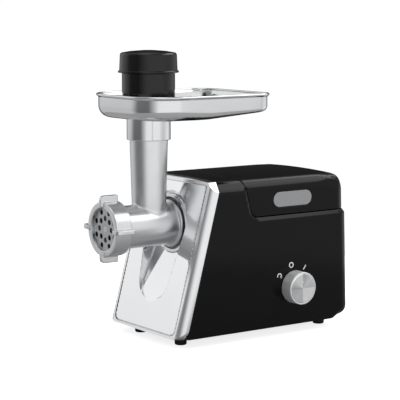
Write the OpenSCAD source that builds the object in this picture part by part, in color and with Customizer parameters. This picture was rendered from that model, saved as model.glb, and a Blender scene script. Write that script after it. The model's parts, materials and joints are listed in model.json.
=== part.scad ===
// Electric meat grinder: housing with motor and gear train, cast grinding head, tray and pusher.
// Working coordinates: X = 0 on the mid-plane, Y = 0 at the front face of the ring nut with
// +Y towards the rear, Z = 0 on the table. in_frame() moves them to the middle of the base.

/* [Housing] */
// Width of the housing
body_w = 154; // [146:1:160]
// Height of the middle of the housing top above the table
body_top = 193.7; // [190:0.1:197]
// Height of the lower edge of the housing above the table
body_low = 12; // [11:0.5:13]
// Distance from the ring nut face to the rear wall, at 60 mm above the table
rear_y = 314; // [310:1:318]
// Distance from the ring nut face to the foot of the front panel plane
panel_foot_y = 51.5; // [51:0.5:52]
// Backward lean of the front panel in degrees
panel_lean = 15; // [14:0.5:16]
// Wall thickness of the moulded housing
wall = 3; // [2.5:0.1:3.5]
// Depth of the metal-look bezel behind the panel plane
bezel_d = 11.5; // [10:0.5:13]
// Radius of the rounded bezel edges at both sides
bezel_r = 12; // [9:0.5:12]
// Height of the joint under the storage cover
cover_z = 147; // [145:1:149]

/* [Grinding head] */
// Height of the auger axis above the table
axis_z = 138; // [137:0.5:139]
// Outer radius of the ring nut
nut_r = 32; // [31.5:0.1:33]
// Length of the ring nut
nut_len = 21.5; // [20:0.5:23]
// Radius of the grinding plate, a size 5 plate of 54 mm
plate_r = 27; // [27:0.5:27]
// Outer radius of the barrel
barrel_r = 25.3; // [25:0.1:26]
// Distance from the ring nut face to the feed tube axis
feed_y = 65; // [63:0.5:67]
// Radius of the feed tube bore
feed_bore_r = 18; // [17.5:0.1:18.5]

/* [Tray and pusher] */
// Height of the tray rim above the table
rim_z = 293; // [290:1:296]
// Width of the tray over its rim
tray_w = 149; // [140:1:150]
// Front end of the tray
tray_y0 = 19; // [17:1:21]
// Rear end of the tray
tray_y1 = 199; // [195:1:203]
// Radius of the tray's front corners in plan
tray_front_r = 45; // [35:1:50]
// Radius of the tray's rear corners in plan
tray_rear_r = 25; // [20:1:30]
// Outer radius of the pusher body
pusher_r = 31.1; // [30:0.1:32]
// Height of the pusher cap top above the table
pusher_top = 344; // [340:1:348]

/* [Controls] */
// Distance from the ring nut face to the knob axis
knob_y = 223.5; // [215:0.5:230]
// Height of the knob axis above the table
knob_z = 59; // [56:0.5:62]
// Radius of the knob
knob_r = 19.8; // [18:0.1:22]
// How far the knob stands out from the side wall
knob_out = 17.3; // [14:0.1:19]

/* [Gear train] */
// Height of the motor axis above the table
motor_z = 72; // [72:1:72]
// Direction from the motor axis to the first gear axis in degrees
first_dir = 40; // [38:1:42]
// Gear modules of the three stages
stage_module = [0.9, 1.2, 1.5];
// Teeth of the three pinions
pinion_teeth = [10, 12, 13];
// Teeth of the three wheels
wheel_teeth = [60, 48, 39];
// Pressure angle in degrees
pressure_angle = 25; // [25:1:25]

/* [Hidden] */
$fn = 96;

body_half = body_w / 2;
mid_x = -knob_out / 2;
gland_out = 4;
rib_out = 3;
front_y = -(rear_y + gland_out - rib_out) / 2;
edge_cut = 10.8;
crown_drop = 2.5;
crown_r = pow(body_half, 2) / (2 * crown_drop);
rear_corner_r = 17;
rear_low_r = 12;
rear_top_r = 16;
rear_draft = 2;
cover_inset = 2.5;
cover_gap = 0.4;
cover_foot_y = 161.7;
fit_gap = 0.05;
slack = 0.3;
feet_x = 43;
feet_y = [80.5, 290];
foot_h = body_low;
foot_r = 7;
base_t = 3;
base_top = foot_h + base_t;
base_screws_x = 30;
base_screws_y = [120, 146];
panel_low = 15.5;
panel_high = 196;
panel_corner_r = 9;
gland_x = -45;
gland_z = 34;

// Storage box, its cover's inlays and the knob's disc
box_y = 238;
box_low = 119;
box_size = [120.4, 126.4];
box_r = 7.7;
grip_len = 58;
grip_h = 18;
grip_y = 222.5;
grip_z = 166;
grip_depth = 1.6;
disc_r = knob_r - 1.9;

// Socket and head along the auger axis
scoop_foot_z = 47;
scoop_low_r = 30;
scoop_low_z = 76;
scoop_top_r = 40;
scoop_tilt = 14;
ring_y = 95;
socket_y = 99.4;
ring_out_r = 35.2;
ring_in_r = 31.5;
gearbox_y = 104;
flange_r = 28.5;
flange_y = [91.5, 98];
spigot_y = 103.5;
lip_t = 4;
plate_y = 4.1;
plate_t = 5;
plate_back = plate_y + plate_t;
thread_r = 29.6;
chamber_r = 25.5;
bore_r = 21.8;
auger_r = 21.3;
auger_core_r = 8;
blade_t = 5;
auger_y = [15, 86];
shaft_r = 6.5;
hex_y = 100.5;
hex_end = 114;
hex_r = 8;
stud_r = 4;
button_x = -52;
button_z = 158;
button_r = 8;
button_travel = 4;

// Gear planes along Y
output_y = 113;
output_t = 12;
second_y = 129;
second_t = 9;
first_y = 142;
first_t = 6;
gearbox_back = 156;
gearbox_wall = 3;
step_y = 127;
hub_room = 34;
journal_room = 9;
axle_r = 3;
hub_r = 10;
journal_r = 6;
motor_shaft_r = 4;
boss_spots = [[-33, 160], [33, 160], [54, 74], [-47, 84], [8, 58.5]];

// Motor along Y
stack_y = 195;
stack_len = 30;
stack_end = stack_y + stack_len;
rear_plate_y = 258;
coil_z = 25;
bolt_offset = [29, -22];

// Pusher and tray heights
floor_z = 264.5;
tray_t = 1.8;
slope_y = 102;
floor_rear_z = 271.7;
sleeve_r = 25.8;
sleeve_low = 239.5;
tube_top = 264.3;
tube_top_r = 22.5;
tube_low_r = 20.6;
tube_low_z = 174;
stem_r = 17.5;
stem_low = 186;
cup_low = floor_z + tray_t + 0.2;
cap_low = 317.8;
neck_r = 29.2;

// Gear axes as [x, z]
function along(p, d, a) = [p[0] + d * cos(a), p[1] + d * sin(a)];
function dir_to(a, b) = atan2(b[1] - a[1], b[0] - a[0]);
function stage_distance(i) = stage_module[i] * (pinion_teeth[i] + wheel_teeth[i]) / 2;
motor_axis = [0, motor_z];
hub_axis = [0, axis_z];
first_axis = along(motor_axis, stage_distance(0), first_dir);
span = norm(hub_axis - first_axis);
// Angle at the first axis in the triangle first, second, hub
corner = acos((pow(stage_distance(1), 2) + pow(span, 2) - pow(stage_distance(2), 2))
              / (2 * stage_distance(1) * span));
second_axis = along(first_axis, stage_distance(1), dir_to(first_axis, hub_axis) + corner);

function panel_y(z) = panel_foot_y + z * tan(panel_lean);
function back_y(z) = rear_y + (60 - z) * tan(rear_draft);
function cover_front_y(z) = cover_foot_y - (z - cover_z) * tan(panel_lean);
function crown_z(x) = body_top - pow(x, 2) / (2 * crown_r);
function bolt_axis(side) = motor_axis + side * bolt_offset;

// ---------------------------------------------------------------- shared shapes

module in_frame() {
    translate([mid_x, front_y, 0]) children();
}

// Extrudes an outline of [y, z] points across X
module across(w) {
    rotate([90, 0, 90]) linear_extrude(w, center = true) children();
}

// Extrudes an outline of [x, z] points along Y, from y0 over a length
module along_y(y0, length) {
    translate([0, y0 + length, 0]) rotate([90, 0, 0]) linear_extrude(length) children();
}

// A cylinder along Y at [x, z], from y0 over a length
module rod_y(p, r, y0, length) {
    translate([p[0], y0, p[1]]) rotate([-90, 0, 0]) cylinder(r = r, h = length);
}

// A tube along Y at [x, z]
module sleeve_y(p, r_out, r_in, y0, length) {
    difference() {
        rod_y(p, r_out, y0, length);
        rod_y(p, r_in, y0 - 1, length + 2);
    }
}

module round_rect(w, h, r) {
    square([w - 2 * r, h], center = true);
    square([w, h - 2 * r], center = true);
    for (sx = [-1, 1]) {
        for (sy = [-1, 1]) {
            translate([sx * (w / 2 - r), sy * (h / 2 - r)]) circle(r = r);
        }
    }
}

// A block between two corners
module block(low, high) {
    translate(low) cube(high - low);
}

// Screw along +Z with its head at the bottom
module screw_up(x, y, z, length, shank = 1.9, head = 3.4, head_h = 2.2) {
    translate([x, y, z]) {
        difference() {
            cylinder(r = head, h = head_h);
            translate([0, 0, -0.1]) cylinder(r = 1.6, h = 1.3, $fn = 6);
        }
        translate([0, 0, head_h]) cylinder(r = shank, h = length);
    }
}

// Places children in the plane of the front panel: X, depth into the housing, height along it
module at_panel() {
    translate([0, panel_foot_y, 0]) rotate([-panel_lean, 0, 0]) children();
}

// Stands a shape turned about Z on an axis along Y at [x, z]
module rotate_y_at(p) {
    translate([p[0], 0, p[1]]) rotate([-90, 0, 0]) children();
}

// Places children on the axis of the knob, with height along +X
module at_knob() {
    translate([0, knob_y, knob_z]) rotate([0, 90, 0]) children();
}

// Spur gear outline with a tooth on the +X side, flanks as involutes
module gear_outline(teeth, m) {
    pitch = teeth * m / 2;
    base = pitch * cos(pressure_angle);
    tip = pitch + 0.8 * m;
    root = pitch - 1.05 * m;
    start = max(base, root);
    thin = 0.1 * m;
    half_pitch = 90 / teeth - thin / pitch * 180 / PI;
    inv_pitch = tan(pressure_angle) * 180 / PI - pressure_angle;
    steps = 4;
    radii = [for (i = [0 : steps]) start + (tip - start) * i / steps];
    flank = [for (r = radii) half_pitch + inv_pitch
                             - (tan(acos(base / r)) * 180 / PI - acos(base / r))];
    tooth = concat(
        [[root, -flank[0]]],
        [for (i = [0 : steps]) [radii[i], -flank[i]]],
        [for (i = [steps : -1 : 0]) [radii[i], flank[i]]],
        [[root, flank[0]]]);
    polygon([for (k = [0 : teeth - 1]) for (p = tooth)
             [p[0] * cos(k * 360 / teeth + p[1]), p[0] * sin(k * 360 / teeth + p[1])]]);
}

// Gear on an axis along Y, turned so that a tooth points in a direction
module gear_y(p, teeth, m, y0, width, turn) {
    translate([p[0], 0, p[1]]) along_y(y0, width) rotate(turn) gear_outline(teeth, m);
}

// ---------------------------------------------------------------- housing

// Section of the housing across the mid-plane, with cut upper edges and a crowned top. The cut
// keeps to one plane for any inset, and moves in with the drop.
module section_outline(inset, drop) {
    half = body_half - inset;
    leg = edge_cut - inset + (sqrt(2) - 1) * drop;
    edge_z = crown_z(half - leg) - drop;
    intersection() {
        polygon([
            [-half, 0], [half, 0], [half, edge_z - leg], [half - leg, edge_z],
            [half - leg, body_top], [leg - half, body_top], [leg - half, edge_z],
            [-half, edge_z - leg]
        ]);
        translate([0, body_top - drop - crown_r]) circle(r = crown_r, $fn = 1440);
    }
}

// Side view of the housing behind the panel plane, with rounded corners at the rear. A drop
// lowers the top, and opens the form underneath as far as the rounded corner.
module side_outline(inset, front_shift, drop) {
    low_r = rear_low_r - inset;
    top_r = rear_top_r - inset;
    low_z = body_low + rear_low_r;
    top_z = body_top - drop;
    low_y = back_y(low_z) - rear_low_r;
    top_y = back_y(top_z - top_r) - rear_top_r;
    floor_end = low_y - max(0, inset - wall);
    hull() {
        polygon([
            [panel_y(low_z) + front_shift, low_z], [low_y, low_z], [top_y, top_z],
            [panel_y(top_z) + front_shift, top_z]
        ]);
        translate([low_y, low_z]) circle(r = low_r);
        translate([top_y, top_z - top_r]) circle(r = top_r);
    }
    polygon([
        [panel_y(body_low - drop) + front_shift, body_low - drop],
        [floor_end, body_low - drop], [floor_end, low_z], [panel_y(low_z) + front_shift, low_z]
    ]);
}

// Outer form of the housing behind the panel plane, inset at the sides and the rear
module body_form(inset, front_shift = 0, drop = 0) {
    half = body_half - inset;
    plan_r = rear_corner_r - inset;
    plan_end = back_y(body_low) - inset;
    intersection() {
        across(body_w) side_outline(inset, front_shift, drop);
        along_y(0, back_y(0) + 1) section_outline(inset, drop);
        linear_extrude(body_top + 1) {
            translate([-half, 0]) square([2 * half, plan_end - plan_r]);
            translate([0, plan_end / 2]) round_rect(2 * half, plan_end, plan_r);
        }
    }
}

// Region taken by the storage cover, grown towards the front by a gap
module cover_region(gap) {
    across(body_w + 2) polygon([
        [cover_front_y(cover_z) - gap, cover_z],
        [rear_y + 20, cover_z],
        [rear_y + 20, body_top + 1],
        [cover_front_y(body_top + 1) - gap, body_top + 1]
    ]);
}

// Form that closes in above the cover joint on both sides and the rear
module rim_form() {
    band = 6.5;
    inner = body_half - cover_inset;
    back = back_y(cover_z);
    intersection() {
        along_y(0, back + 10) polygon([
            [-body_half, 0], [body_half, 0], [body_half, cover_z - band], [inner, cover_z],
            [inner, cover_z + 1], [-inner, cover_z + 1], [-inner, cover_z],
            [-body_half, cover_z - band]
        ]);
        across(body_w) polygon([
            [0, 0], [back_y(0), 0], [back_y(cover_z - band), cover_z - band],
            [back - cover_inset, cover_z], [back - cover_inset, cover_z + 1], [0, cover_z + 1]
        ]);
    }
}

module main_shell() {
    deck_t = 3;
    color("#161616") in_frame() difference() {
        union() {
            difference() {
                body_form(0, bezel_d);
                body_form(wall, bezel_d - 1, wall);
            }
            // Wall in front of the cover and the deck under it
            intersection() {
                body_form(0.5, bezel_d + 1);
                union() {
                    across(body_w) polygon([
                        [cover_front_y(cover_z) - wall, cover_z - deck_t],
                        [cover_front_y(cover_z) + wall, cover_z - deck_t],
                        [cover_front_y(body_top) + wall, body_top],
                        [cover_front_y(body_top) - wall, body_top]
                    ]);
                    block([-body_half, cover_front_y(cover_z) - wall, cover_z - deck_t],
                          [body_half, rear_y + 20, cover_z]);
                }
            }
        }
        cover_region(0);
        // Closing-in band round the cover joint
        difference() {
            block([-body_half - 1, cover_front_y(cover_z) - 5, cover_z - 7],
                  [body_half + 1, rear_y + 20, cover_z + 0.5]);
            rim_form();
        }
        // Opening of the storage tray
        translate([0, box_y, cover_z - 10]) linear_extrude(20)
            round_rect(box_size[0] + 2 * slack, box_size[1] + 2 * slack, box_r + slack);
        // Knob bush, cord gland
        translate([0, knob_y, knob_z]) rotate([0, 90, 0]) cylinder(r = 4.9, h = body_w);
        rod_y([gland_x, gland_z], 7.1, 290, 40);
    }
}

module base_plate() {
    rim = wall + 0.3;
    color("#1c1c1c") in_frame() difference() {
        intersection() {
            body_form(rim, bezel_d + 1);
            block([-body_half, 0, body_low], [body_half, rear_y + 20, base_top]);
        }
        // Air slots under the fan and under the brushes
        for (row = [160, 242]) {
            for (i = [-4 : 4]) {
                block([i * 8 - 1.6, row, 0], [i * 8 + 1.6, row + 26, base_top + 1]);
            }
        }
        for (sx = [-1, 1]) {
            for (y = feet_y) {
                translate([sx * feet_x, y, 0]) cylinder(r = 2.05, h = 30);
            }
            for (y = base_screws_y) {
                translate([sx * base_screws_x, y, 0]) cylinder(r = 1.95, h = 30);
            }
        }
    }
}

// Plate parallel to the front panel, with its lower corners rounded more than the upper ones
module panel_slab(half, depth, low, high, r) {
    top_r = 3;
    at_panel() translate([0, depth[1], 0]) rotate([90, 0, 0])
        linear_extrude(depth[1] - depth[0]) {
            translate([0, (low + high) / 2]) round_rect(2 * half, high - low, r);
            translate([0, high - 20]) round_rect(2 * half, 40, top_r);
        }
}

module front_bezel() {
    seam_x = body_half - bezel_r;
    color("#c9cbcc") in_frame() difference() {
        intersection() {
            across(body_w) polygon(concat(
                [[panel_y(body_low), body_low],
                 [panel_y(body_low) + bezel_d - 0.1, body_low],
                 [panel_y(body_top) + bezel_d - 0.1, body_top]],
                [for (a = [90 : 15 : 165])
                    [panel_y(body_top) + 3.5 + 3 * cos(a), body_top - 3 + 3 * sin(a)]]));
            // Rounded front edges
            at_panel() linear_extrude(body_top + 20) {
                translate([-body_half, bezel_r]) square([body_w, 40]);
                translate([0, 30]) round_rect(body_w, 60, bezel_r);
            }
            // Rounded lower corners
            panel_slab(body_half, [-10, 40], body_low / cos(panel_lean), body_top + 30,
                       bezel_r + 4);
            along_y(0, 200) section_outline(0, 0);
        }
        // Seat of the panel, and the window behind it
        panel_slab(seam_x, [-2, 4], panel_low, panel_high, panel_corner_r);
        at_panel() block([-seam_x + 3, 0, panel_low + 3], [seam_x - 3, 30, panel_high - 4]);
    }
}

// Outline of the scoop under the socket, in the plane of the panel
module scoop_outline(grow = 0) {
    hull() {
        translate([0, axis_z / cos(panel_lean)]) circle(r = scoop_top_r + grow);
        translate([0, scoop_low_z / cos(panel_lean)]) circle(r = scoop_low_r + grow);
    }
}

// Region in front of the sloping floor of the scoop and of the socket's own face
module scoop_front(shift) {
    intersection() {
        at_panel() translate([0, 0, scoop_foot_z / cos(panel_lean)]) rotate([-scoop_tilt, 0, 0])
            block([-60, -40, -60], [60, shift, 200]);
        block([-60, 0, 0], [60, socket_y + shift, 220]);
    }
}

module front_panel() {
    skin = 2.4;
    color("#e4e6e8") in_frame() difference() {
        union() {
            panel_slab(body_half - bezel_r - slack, [0.4, 0.4 + skin], panel_low + slack,
                       panel_high - slack, panel_corner_r - slack);
            // Back of the scoop
            intersection() {
                at_panel() translate([0, 30, 0]) rotate([90, 0, 0]) linear_extrude(28.5)
                    scoop_outline(skin);
                scoop_front(skin);
            }
        }
        // Scoop, deeper towards the socket
        intersection() {
            at_panel() translate([0, 30, 0]) rotate([90, 0, 0]) linear_extrude(40) scoop_outline();
            scoop_front(0);
        }
        rod_y(hub_axis, ring_out_r + slack, 40, 80);
        rod_y([button_x, button_z], button_r + slack, 40, 80);
    }
}

module socket_ring() {
    color("#b9bcbe") in_frame()
        sleeve_y(hub_axis, ring_out_r, ring_in_r, ring_y, gearbox_y - ring_y - 0.1);
}

module release_button() {
    face = panel_y(button_z) - 2;
    color("#2a2a2a") in_frame() {
        rotate_y_at([button_x, button_z]) rotate_extrude() polygon([
            [0, face], [button_r - 1.2, face], [button_r, face + 1.2], [button_r, face + 9],
            [3, face + 9], [3, face + 24], [0, face + 24]
        ]);
    }
}

module release_spring() {
    face = panel_y(button_z) - 2;
    low = face + 9 + button_travel;
    color("#9a9a9a") in_frame() for (i = [0 : 3]) {
        rotate_y_at([button_x, button_z]) translate([0, 0, low + 0.8 + i * 2.4])
            rotate_extrude() translate([4.6, 0]) circle(r = 0.5, $fn = 16);
    }
}

module storage_tray() {
    t = 2.2;
    color("#222222") in_frame() translate([0, box_y, box_low]) difference() {
        linear_extrude(cover_z - box_low) round_rect(box_size[0], box_size[1], box_r);
        translate([0, 0, t - 0.2])
            linear_extrude(40) round_rect(box_size[0] - 2 * t, box_size[1] - 2 * t, box_r - t);
    }
}

module storage_cover() {
    skin = 2.5;
    color("#141414") in_frame() difference() {
        intersection() {
            body_form(cover_inset, bezel_d);
            translate([0, 0, cover_gap]) cover_region(-cover_gap);
        }
        intersection() {
            body_form(cover_inset + skin, bezel_d, skin);
            translate([0, 0, -1]) cover_region(-skin - cover_gap);
        }
        for (side = [-1, 1]) {
            grip_shape(side, 0.15);
        }
    }
}

// Pill-shaped inlay in the side of the cover
module grip_shape(side, grow) {
    face = body_half - cover_inset;
    x0 = side > 0 ? face - grip_depth : -face - 1;
    translate([x0, grip_y, grip_z]) rotate([90, 0, 90]) linear_extrude(grip_depth + 1)
        round_rect(grip_len + 2 * grow, grip_h + 2 * grow, grip_h / 2 + grow - 0.01);
}

module grip_plate(side) {
    face = body_half - cover_inset;
    color("#8d8f90") in_frame() intersection() {
        grip_shape(side, 0);
        block([-face + 0.1, 0, 0], [face - 0.1, 400, 200]);
    }
}

module grip_plate_right() {
    grip_plate(1);
}

module grip_plate_left() {
    grip_plate(-1);
}

// ---------------------------------------------------------------- controls and cord entry

module rotary_switch() {
    inner = body_half - wall;
    color("#3a3a3c") in_frame() difference() {
        union() {
            block([inner - 20, knob_y - 13, knob_z - 13], [inner - 0.1, knob_y + 13, knob_z + 13]);
            at_knob() cylinder(r = 4.8, h = body_half + 0.3);
        }
        at_knob() translate([0, 0, inner - 14]) cylinder(r = 3 + fit_gap, h = 40);
        block([-body_half, 0, 0], [inner - 20.1, 400, 200]);
    }
}

module switch_shaft() {
    color("#bfae6a") in_frame() at_knob() translate([0, 0, body_half - wall - 13.5])
        cylinder(r = 3, h = 24);
}

module control_knob() {
    base = body_half + 0.5;
    out = body_half + knob_out;
    color("#c4c6c8") in_frame() at_knob() rotate_extrude() polygon([
        [3 + fit_gap, base + 3], [12, base + 3], [12, base], [knob_r - 0.6, base],
        [knob_r, base + 0.6], [knob_r - 0.3, out - 0.5], [knob_r - 0.8, out],
        [disc_r + 0.1, out], [disc_r + 0.1, out - 1], [3 + fit_gap, out - 1]
    ]);
}

module knob_disc() {
    out = body_half + knob_out;
    color("#e3e4e5") in_frame() at_knob() difference() {
        translate([0, 0, out - 1]) cylinder(r = disc_r, h = 0.9);
        // Pointer groove
        translate([-disc_r + 2, -0.7, out - 0.5]) cube([8, 1.4, 1]);
    }
}

module control_board() {
    color("#2f6b3c") in_frame() {
        block([-71, 240, 20], [-24, 296, 21.6]);
        for (x = [-67, -28]) {
            for (y = [244, 292]) {
                translate([x, y, base_top]) cylinder(r = 3, h = 20 - base_top);
            }
        }
    }
}

module filter_capacitor() {
    color("#c9a227") in_frame() block([-62, 252, 21.6], [-36, 270, 38]);
}

module cord_gland() {
    low_y = back_y(gland_z - 9);
    color("#1a1a1a") in_frame() rotate_y_at([gland_x, gland_z]) rotate_extrude() polygon([
        [3.6, low_y - 10], [7, low_y - 10], [7, low_y], [9, low_y], [9, low_y + 1.4],
        [8, rear_y + gland_out], [3.6, rear_y + gland_out]
    ]);
}

module foot(side, y) {
    color("#101010") in_frame() translate([side * feet_x, y, 0]) rotate_extrude() polygon([
        [4, 0], [foot_r - 0.8, 0], [foot_r, 0.8], [foot_r + 0.8, foot_h], [2.05, foot_h],
        [2.05, 5], [4, 5]
    ]);
}

module foot_front_right() {
    foot(1, feet_y[0]);
}

module foot_front_left() {
    foot(-1, feet_y[0]);
}

module foot_rear_right() {
    foot(1, feet_y[1]);
}

module foot_rear_left() {
    foot(-1, feet_y[1]);
}

module foot_screws() {
    color("#8a8a8a") in_frame() for (side = [-1, 1]) {
        for (y = feet_y) {
            screw_up(side * feet_x, y, 2.8, 15, shank = 2);
        }
    }
}

module housing_screws() {
    color("#8a8a8a") in_frame() for (side = [-1, 1]) {
        for (y = base_screws_y) {
            screw_up(side * base_screws_x, y, foot_h - 2.2, 14);
        }
    }
}

// ---------------------------------------------------------------- gear train

// Outline round the gears, with a hub circle of its own for the front and the rear section
module gearbox_outline(hub_room, grow) {
    hull() {
        translate(hub_axis) circle(r = hub_room + grow);
        translate(first_axis) circle(r = 30 + grow);
        translate(second_axis) circle(r = 33 + grow);
    }
}

module gearbox_ears(y0, length) {
    for (p = boss_spots) {
        rod_y(p, 5, y0, length);
    }
}

module gearbox_housing() {
    color("#5c5f63") in_frame() difference() {
        union() {
            along_y(gearbox_y + 5, step_y - gearbox_y - 5 + gearbox_wall)
                gearbox_outline(hub_room, gearbox_wall);
            along_y(step_y, gearbox_back - step_y) gearbox_outline(journal_room, gearbox_wall);
            gearbox_ears(gearbox_y + 5, 18);
            for (side = [-1, 1]) {
                block([side * base_screws_x - 7, base_screws_y[0] - 8, base_top],
                      [side * base_screws_x + 7, base_screws_y[1] + 8, 84]);
            }
            // Boss of the front motor bearing
            rod_y(motor_axis, 14, gearbox_back - 1, 9);
        }
        along_y(gearbox_y, step_y - gearbox_y) gearbox_outline(hub_room, 0);
        along_y(gearbox_y, gearbox_back - gearbox_wall - gearbox_y)
            gearbox_outline(journal_room, 0);
        for (p = boss_spots) {
            rod_y(p, 1.7, gearbox_y, 18);
        }
        for (side = [-1, 1]) {
            for (y = base_screws_y) {
                translate([side * base_screws_x, y, 0]) cylinder(r = 1.95, h = 28);
            }
        }
        rod_y(motor_axis, 9.5, gearbox_back + 1, 10);
        rod_y(motor_axis, 6, gearbox_y + 20, 60);
        for (p = [first_axis, second_axis]) {
            rod_y(p, axle_r + 0.02, gearbox_back - 4, 5);
        }
        rod_y(hub_axis, journal_r + fit_gap, gearbox_back - 4, 5);
    }
}

module gearbox_cover() {
    color("#6a6d71") in_frame() difference() {
        union() {
            along_y(gearbox_y, 5) gearbox_outline(hub_room, gearbox_wall);
            gearbox_ears(gearbox_y, 5);
        }
        rod_y(hub_axis, 15.05, gearbox_y - 1, 8);
        for (p = [first_axis, second_axis]) {
            rod_y(p, axle_r + 0.02, gearbox_y + 2, 5);
        }
        for (p = boss_spots) {
            rod_y(p, 1.9, gearbox_y - 1, 8);
        }
    }
}

module gearbox_screws() {
    color("#8a8a8a") in_frame() for (p = boss_spots) {
        rotate_y_at(p) translate([0, 0, gearbox_y - 2]) {
            difference() {
                cylinder(r = 3.2, h = 2);
                translate([0, 0, -0.1]) cylinder(r = 1.5, h = 1.3, $fn = 6);
            }
            translate([0, 0, 2]) cylinder(r = 1.65, h = 16);
        }
    }
}

module hub_bearing() {
    color("#b08d4a") in_frame() sleeve_y(hub_axis, 15, hub_r + fit_gap, gearbox_y, 8);
}

module hub_seal() {
    color("#202020") in_frame() sleeve_y(hub_axis, 14, hub_r + 0.1, gearbox_y - 2.5, 2.5);
}

module axle(p) {
    color("#d0d0d0") in_frame() rod_y(p, axle_r, gearbox_y + 2.2, gearbox_back - gearbox_y - 3.4);
}

module first_axle() {
    axle(first_axis);
}

module second_axle() {
    axle(second_axis);
}

// Wheel driven by pinion i, with an optional pinion of the next stage beside it
module reduction_gear(i, p, from, y0, width, next_y, next_w, next_dir) {
    turn = dir_to(from, p) + 180 + 180 / wheel_teeth[i];
    difference() {
        union() {
            gear_y(p, wheel_teeth[i], stage_module[i], y0, width, turn);
            gear_y(p, pinion_teeth[i + 1], stage_module[i + 1], next_y, next_w, next_dir);
        }
        rod_y(p, axle_r + fit_gap, next_y - 1, 60);
    }
}

module first_gear() {
    color("#e8e2d0") in_frame() reduction_gear(0, first_axis, motor_axis, first_y, first_t,
        second_y - 0.5, first_y - second_y + 1, dir_to(first_axis, second_axis));
}

module second_gear() {
    color("#9aa0a6") in_frame() reduction_gear(1, second_axis, first_axis, second_y, second_t,
        output_y - 0.5, second_y - output_y + 1, dir_to(second_axis, hub_axis));
}

module output_gear() {
    turn = dir_to(second_axis, hub_axis) + 180 + 180 / wheel_teeth[2];
    color("#8e9297") in_frame() difference() {
        gear_y(hub_axis, wheel_teeth[2], stage_module[2], output_y, output_t, turn);
        rod_y(hub_axis, hub_r + 0.02, output_y - 1, output_t + 2);
        // Lightening recess
        difference() {
            rod_y(hub_axis, 24, output_y + 8, 10);
            rod_y(hub_axis, 14, output_y, 20);
        }
    }
}

module drive_hub() {
    color("#a5a9ad") in_frame() difference() {
        union() {
            rod_y(hub_axis, hub_r, gearbox_y - 5, output_y + output_t - gearbox_y + 5);
            rod_y(hub_axis, journal_r, output_y, gearbox_back - output_y - 3.5);
            rod_y(hub_axis, journal_r, gearbox_back - 4, 3.5);
        }
        translate([0, 0, axis_z]) along_y(gearbox_y - 6, 16.5) circle(r = hex_r + 0.3, $fn = 6);
    }
}

// ---------------------------------------------------------------- motor

module motor_shaft() {
    color("#c8c8c8") in_frame() {
        rod_y(motor_axis, motor_shaft_r, first_y + first_t + 1,
            rear_plate_y + 8 - first_y - first_t);
        gear_y(motor_axis, pinion_teeth[0], stage_module[0], first_y - 0.5, first_t + 1.5,
            dir_to(motor_axis, first_axis));
    }
}

module rotor_core() {
    color("#7d7f82") in_frame() difference() {
        union() {
            rod_y(motor_axis, 19.6, stack_y, stack_len);
            rod_y(motor_axis, 17, stack_y - 8, stack_len + 16);
        }
        rod_y(motor_axis, motor_shaft_r + 0.01, 180, 60);
        // Winding slots
        for (i = [0 : 11]) {
            translate([0, 0, motor_z]) rotate([0, i * 30, 0])
                block([-1, stack_y - 1, 17.2], [1, stack_end + 1, 21]);
        }
    }
}

module commutator() {
    color("#b87333") in_frame() difference() {
        sleeve_y(motor_axis, 10.5, motor_shaft_r + 0.01, 238, 15);
        for (i = [0 : 23]) {
            translate([0, 0, motor_z]) rotate([0, i * 15, 0])
                block([-0.25, 237, 9.8], [0.25, 252, 11]);
        }
    }
}

module cooling_fan() {
    color("#d8d4c4") in_frame() {
        sleeve_y(motor_axis, 8, motor_shaft_r + 0.01, 169, 10);
        sleeve_y(motor_axis, 27, 7.9, 176, 2);
        for (i = [0 : 10]) {
            translate([0, 0, motor_z]) rotate([0, i * 360 / 11, 0])
                block([-0.7, 170, 7.8], [0.7, 176.2, 26]);
        }
    }
}

module stator_core() {
    color("#6f7275") in_frame() difference() {
        translate([0, 0, motor_z]) along_y(stack_y, stack_len) round_rect(70, 62, 8);
        rod_y(motor_axis, 20.2, stack_y - 1, stack_len + 2);
        for (side = [-1, 1]) {
            // Winding windows above and below the poles
            block([-19, stack_y - 1, motor_z + side * coil_z - 3],
                  [19, stack_end + 1, motor_z + side * coil_z + 3]);
            rod_y(bolt_axis(side), 2.05, stack_y - 1, stack_len + 2);
        }
    }
}

module field_coils() {
    color("#b8692e") in_frame() for (side = [-1, 1]) {
        block([-18.5, stack_y - 7, motor_z + side * coil_z - 2.6],
              [18.5, stack_end + 7, motor_z + side * coil_z + 2.6]);
    }
}

module front_bearing() {
    color("#d5d7d9") in_frame()
        sleeve_y(motor_axis, 9.45, motor_shaft_r + fit_gap, gearbox_back + 1, 7);
}

module rear_bearing() {
    color("#d5d7d9") in_frame()
        sleeve_y(motor_axis, 9.45, motor_shaft_r + fit_gap, rear_plate_y, 7);
}

module motor_bracket() {
    color("#9b9ea1") in_frame() {
        difference() {
            union() {
                block([-36, rear_plate_y - 3, motor_z - 14], [36, rear_plate_y, motor_z + 14]);
                rod_y(motor_axis, 13, rear_plate_y - 3, 11);
                for (side = [-1, 1]) {
                    block([side * 34 - 2, stack_end + 0.1, motor_z - 14],
                          [side * 34 + 2, rear_plate_y, motor_z + 14]);
                }
            }
            rod_y(motor_axis, 9.5, rear_plate_y, 20);
            rod_y(motor_axis, 5, rear_plate_y - 10, 20);
        }
        // Front plate that hangs the stator on the gearbox
        difference() {
            translate([0, 0, motor_z]) along_y(stack_y - 12.1, 3) round_rect(70, 62, 8);
            rod_y(motor_axis, 28, 170, 20);
            for (side = [-1, 1]) {
                rod_y(bolt_axis(side), 2.05, 170, 20);
            }
        }
        for (side = [-1, 1]) {
            block([side * 33 - 2, gearbox_back, motor_z - 8],
                  [side * 33 + 2, stack_y - 0.1, motor_z + 8]);
        }
    }
}

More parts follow.
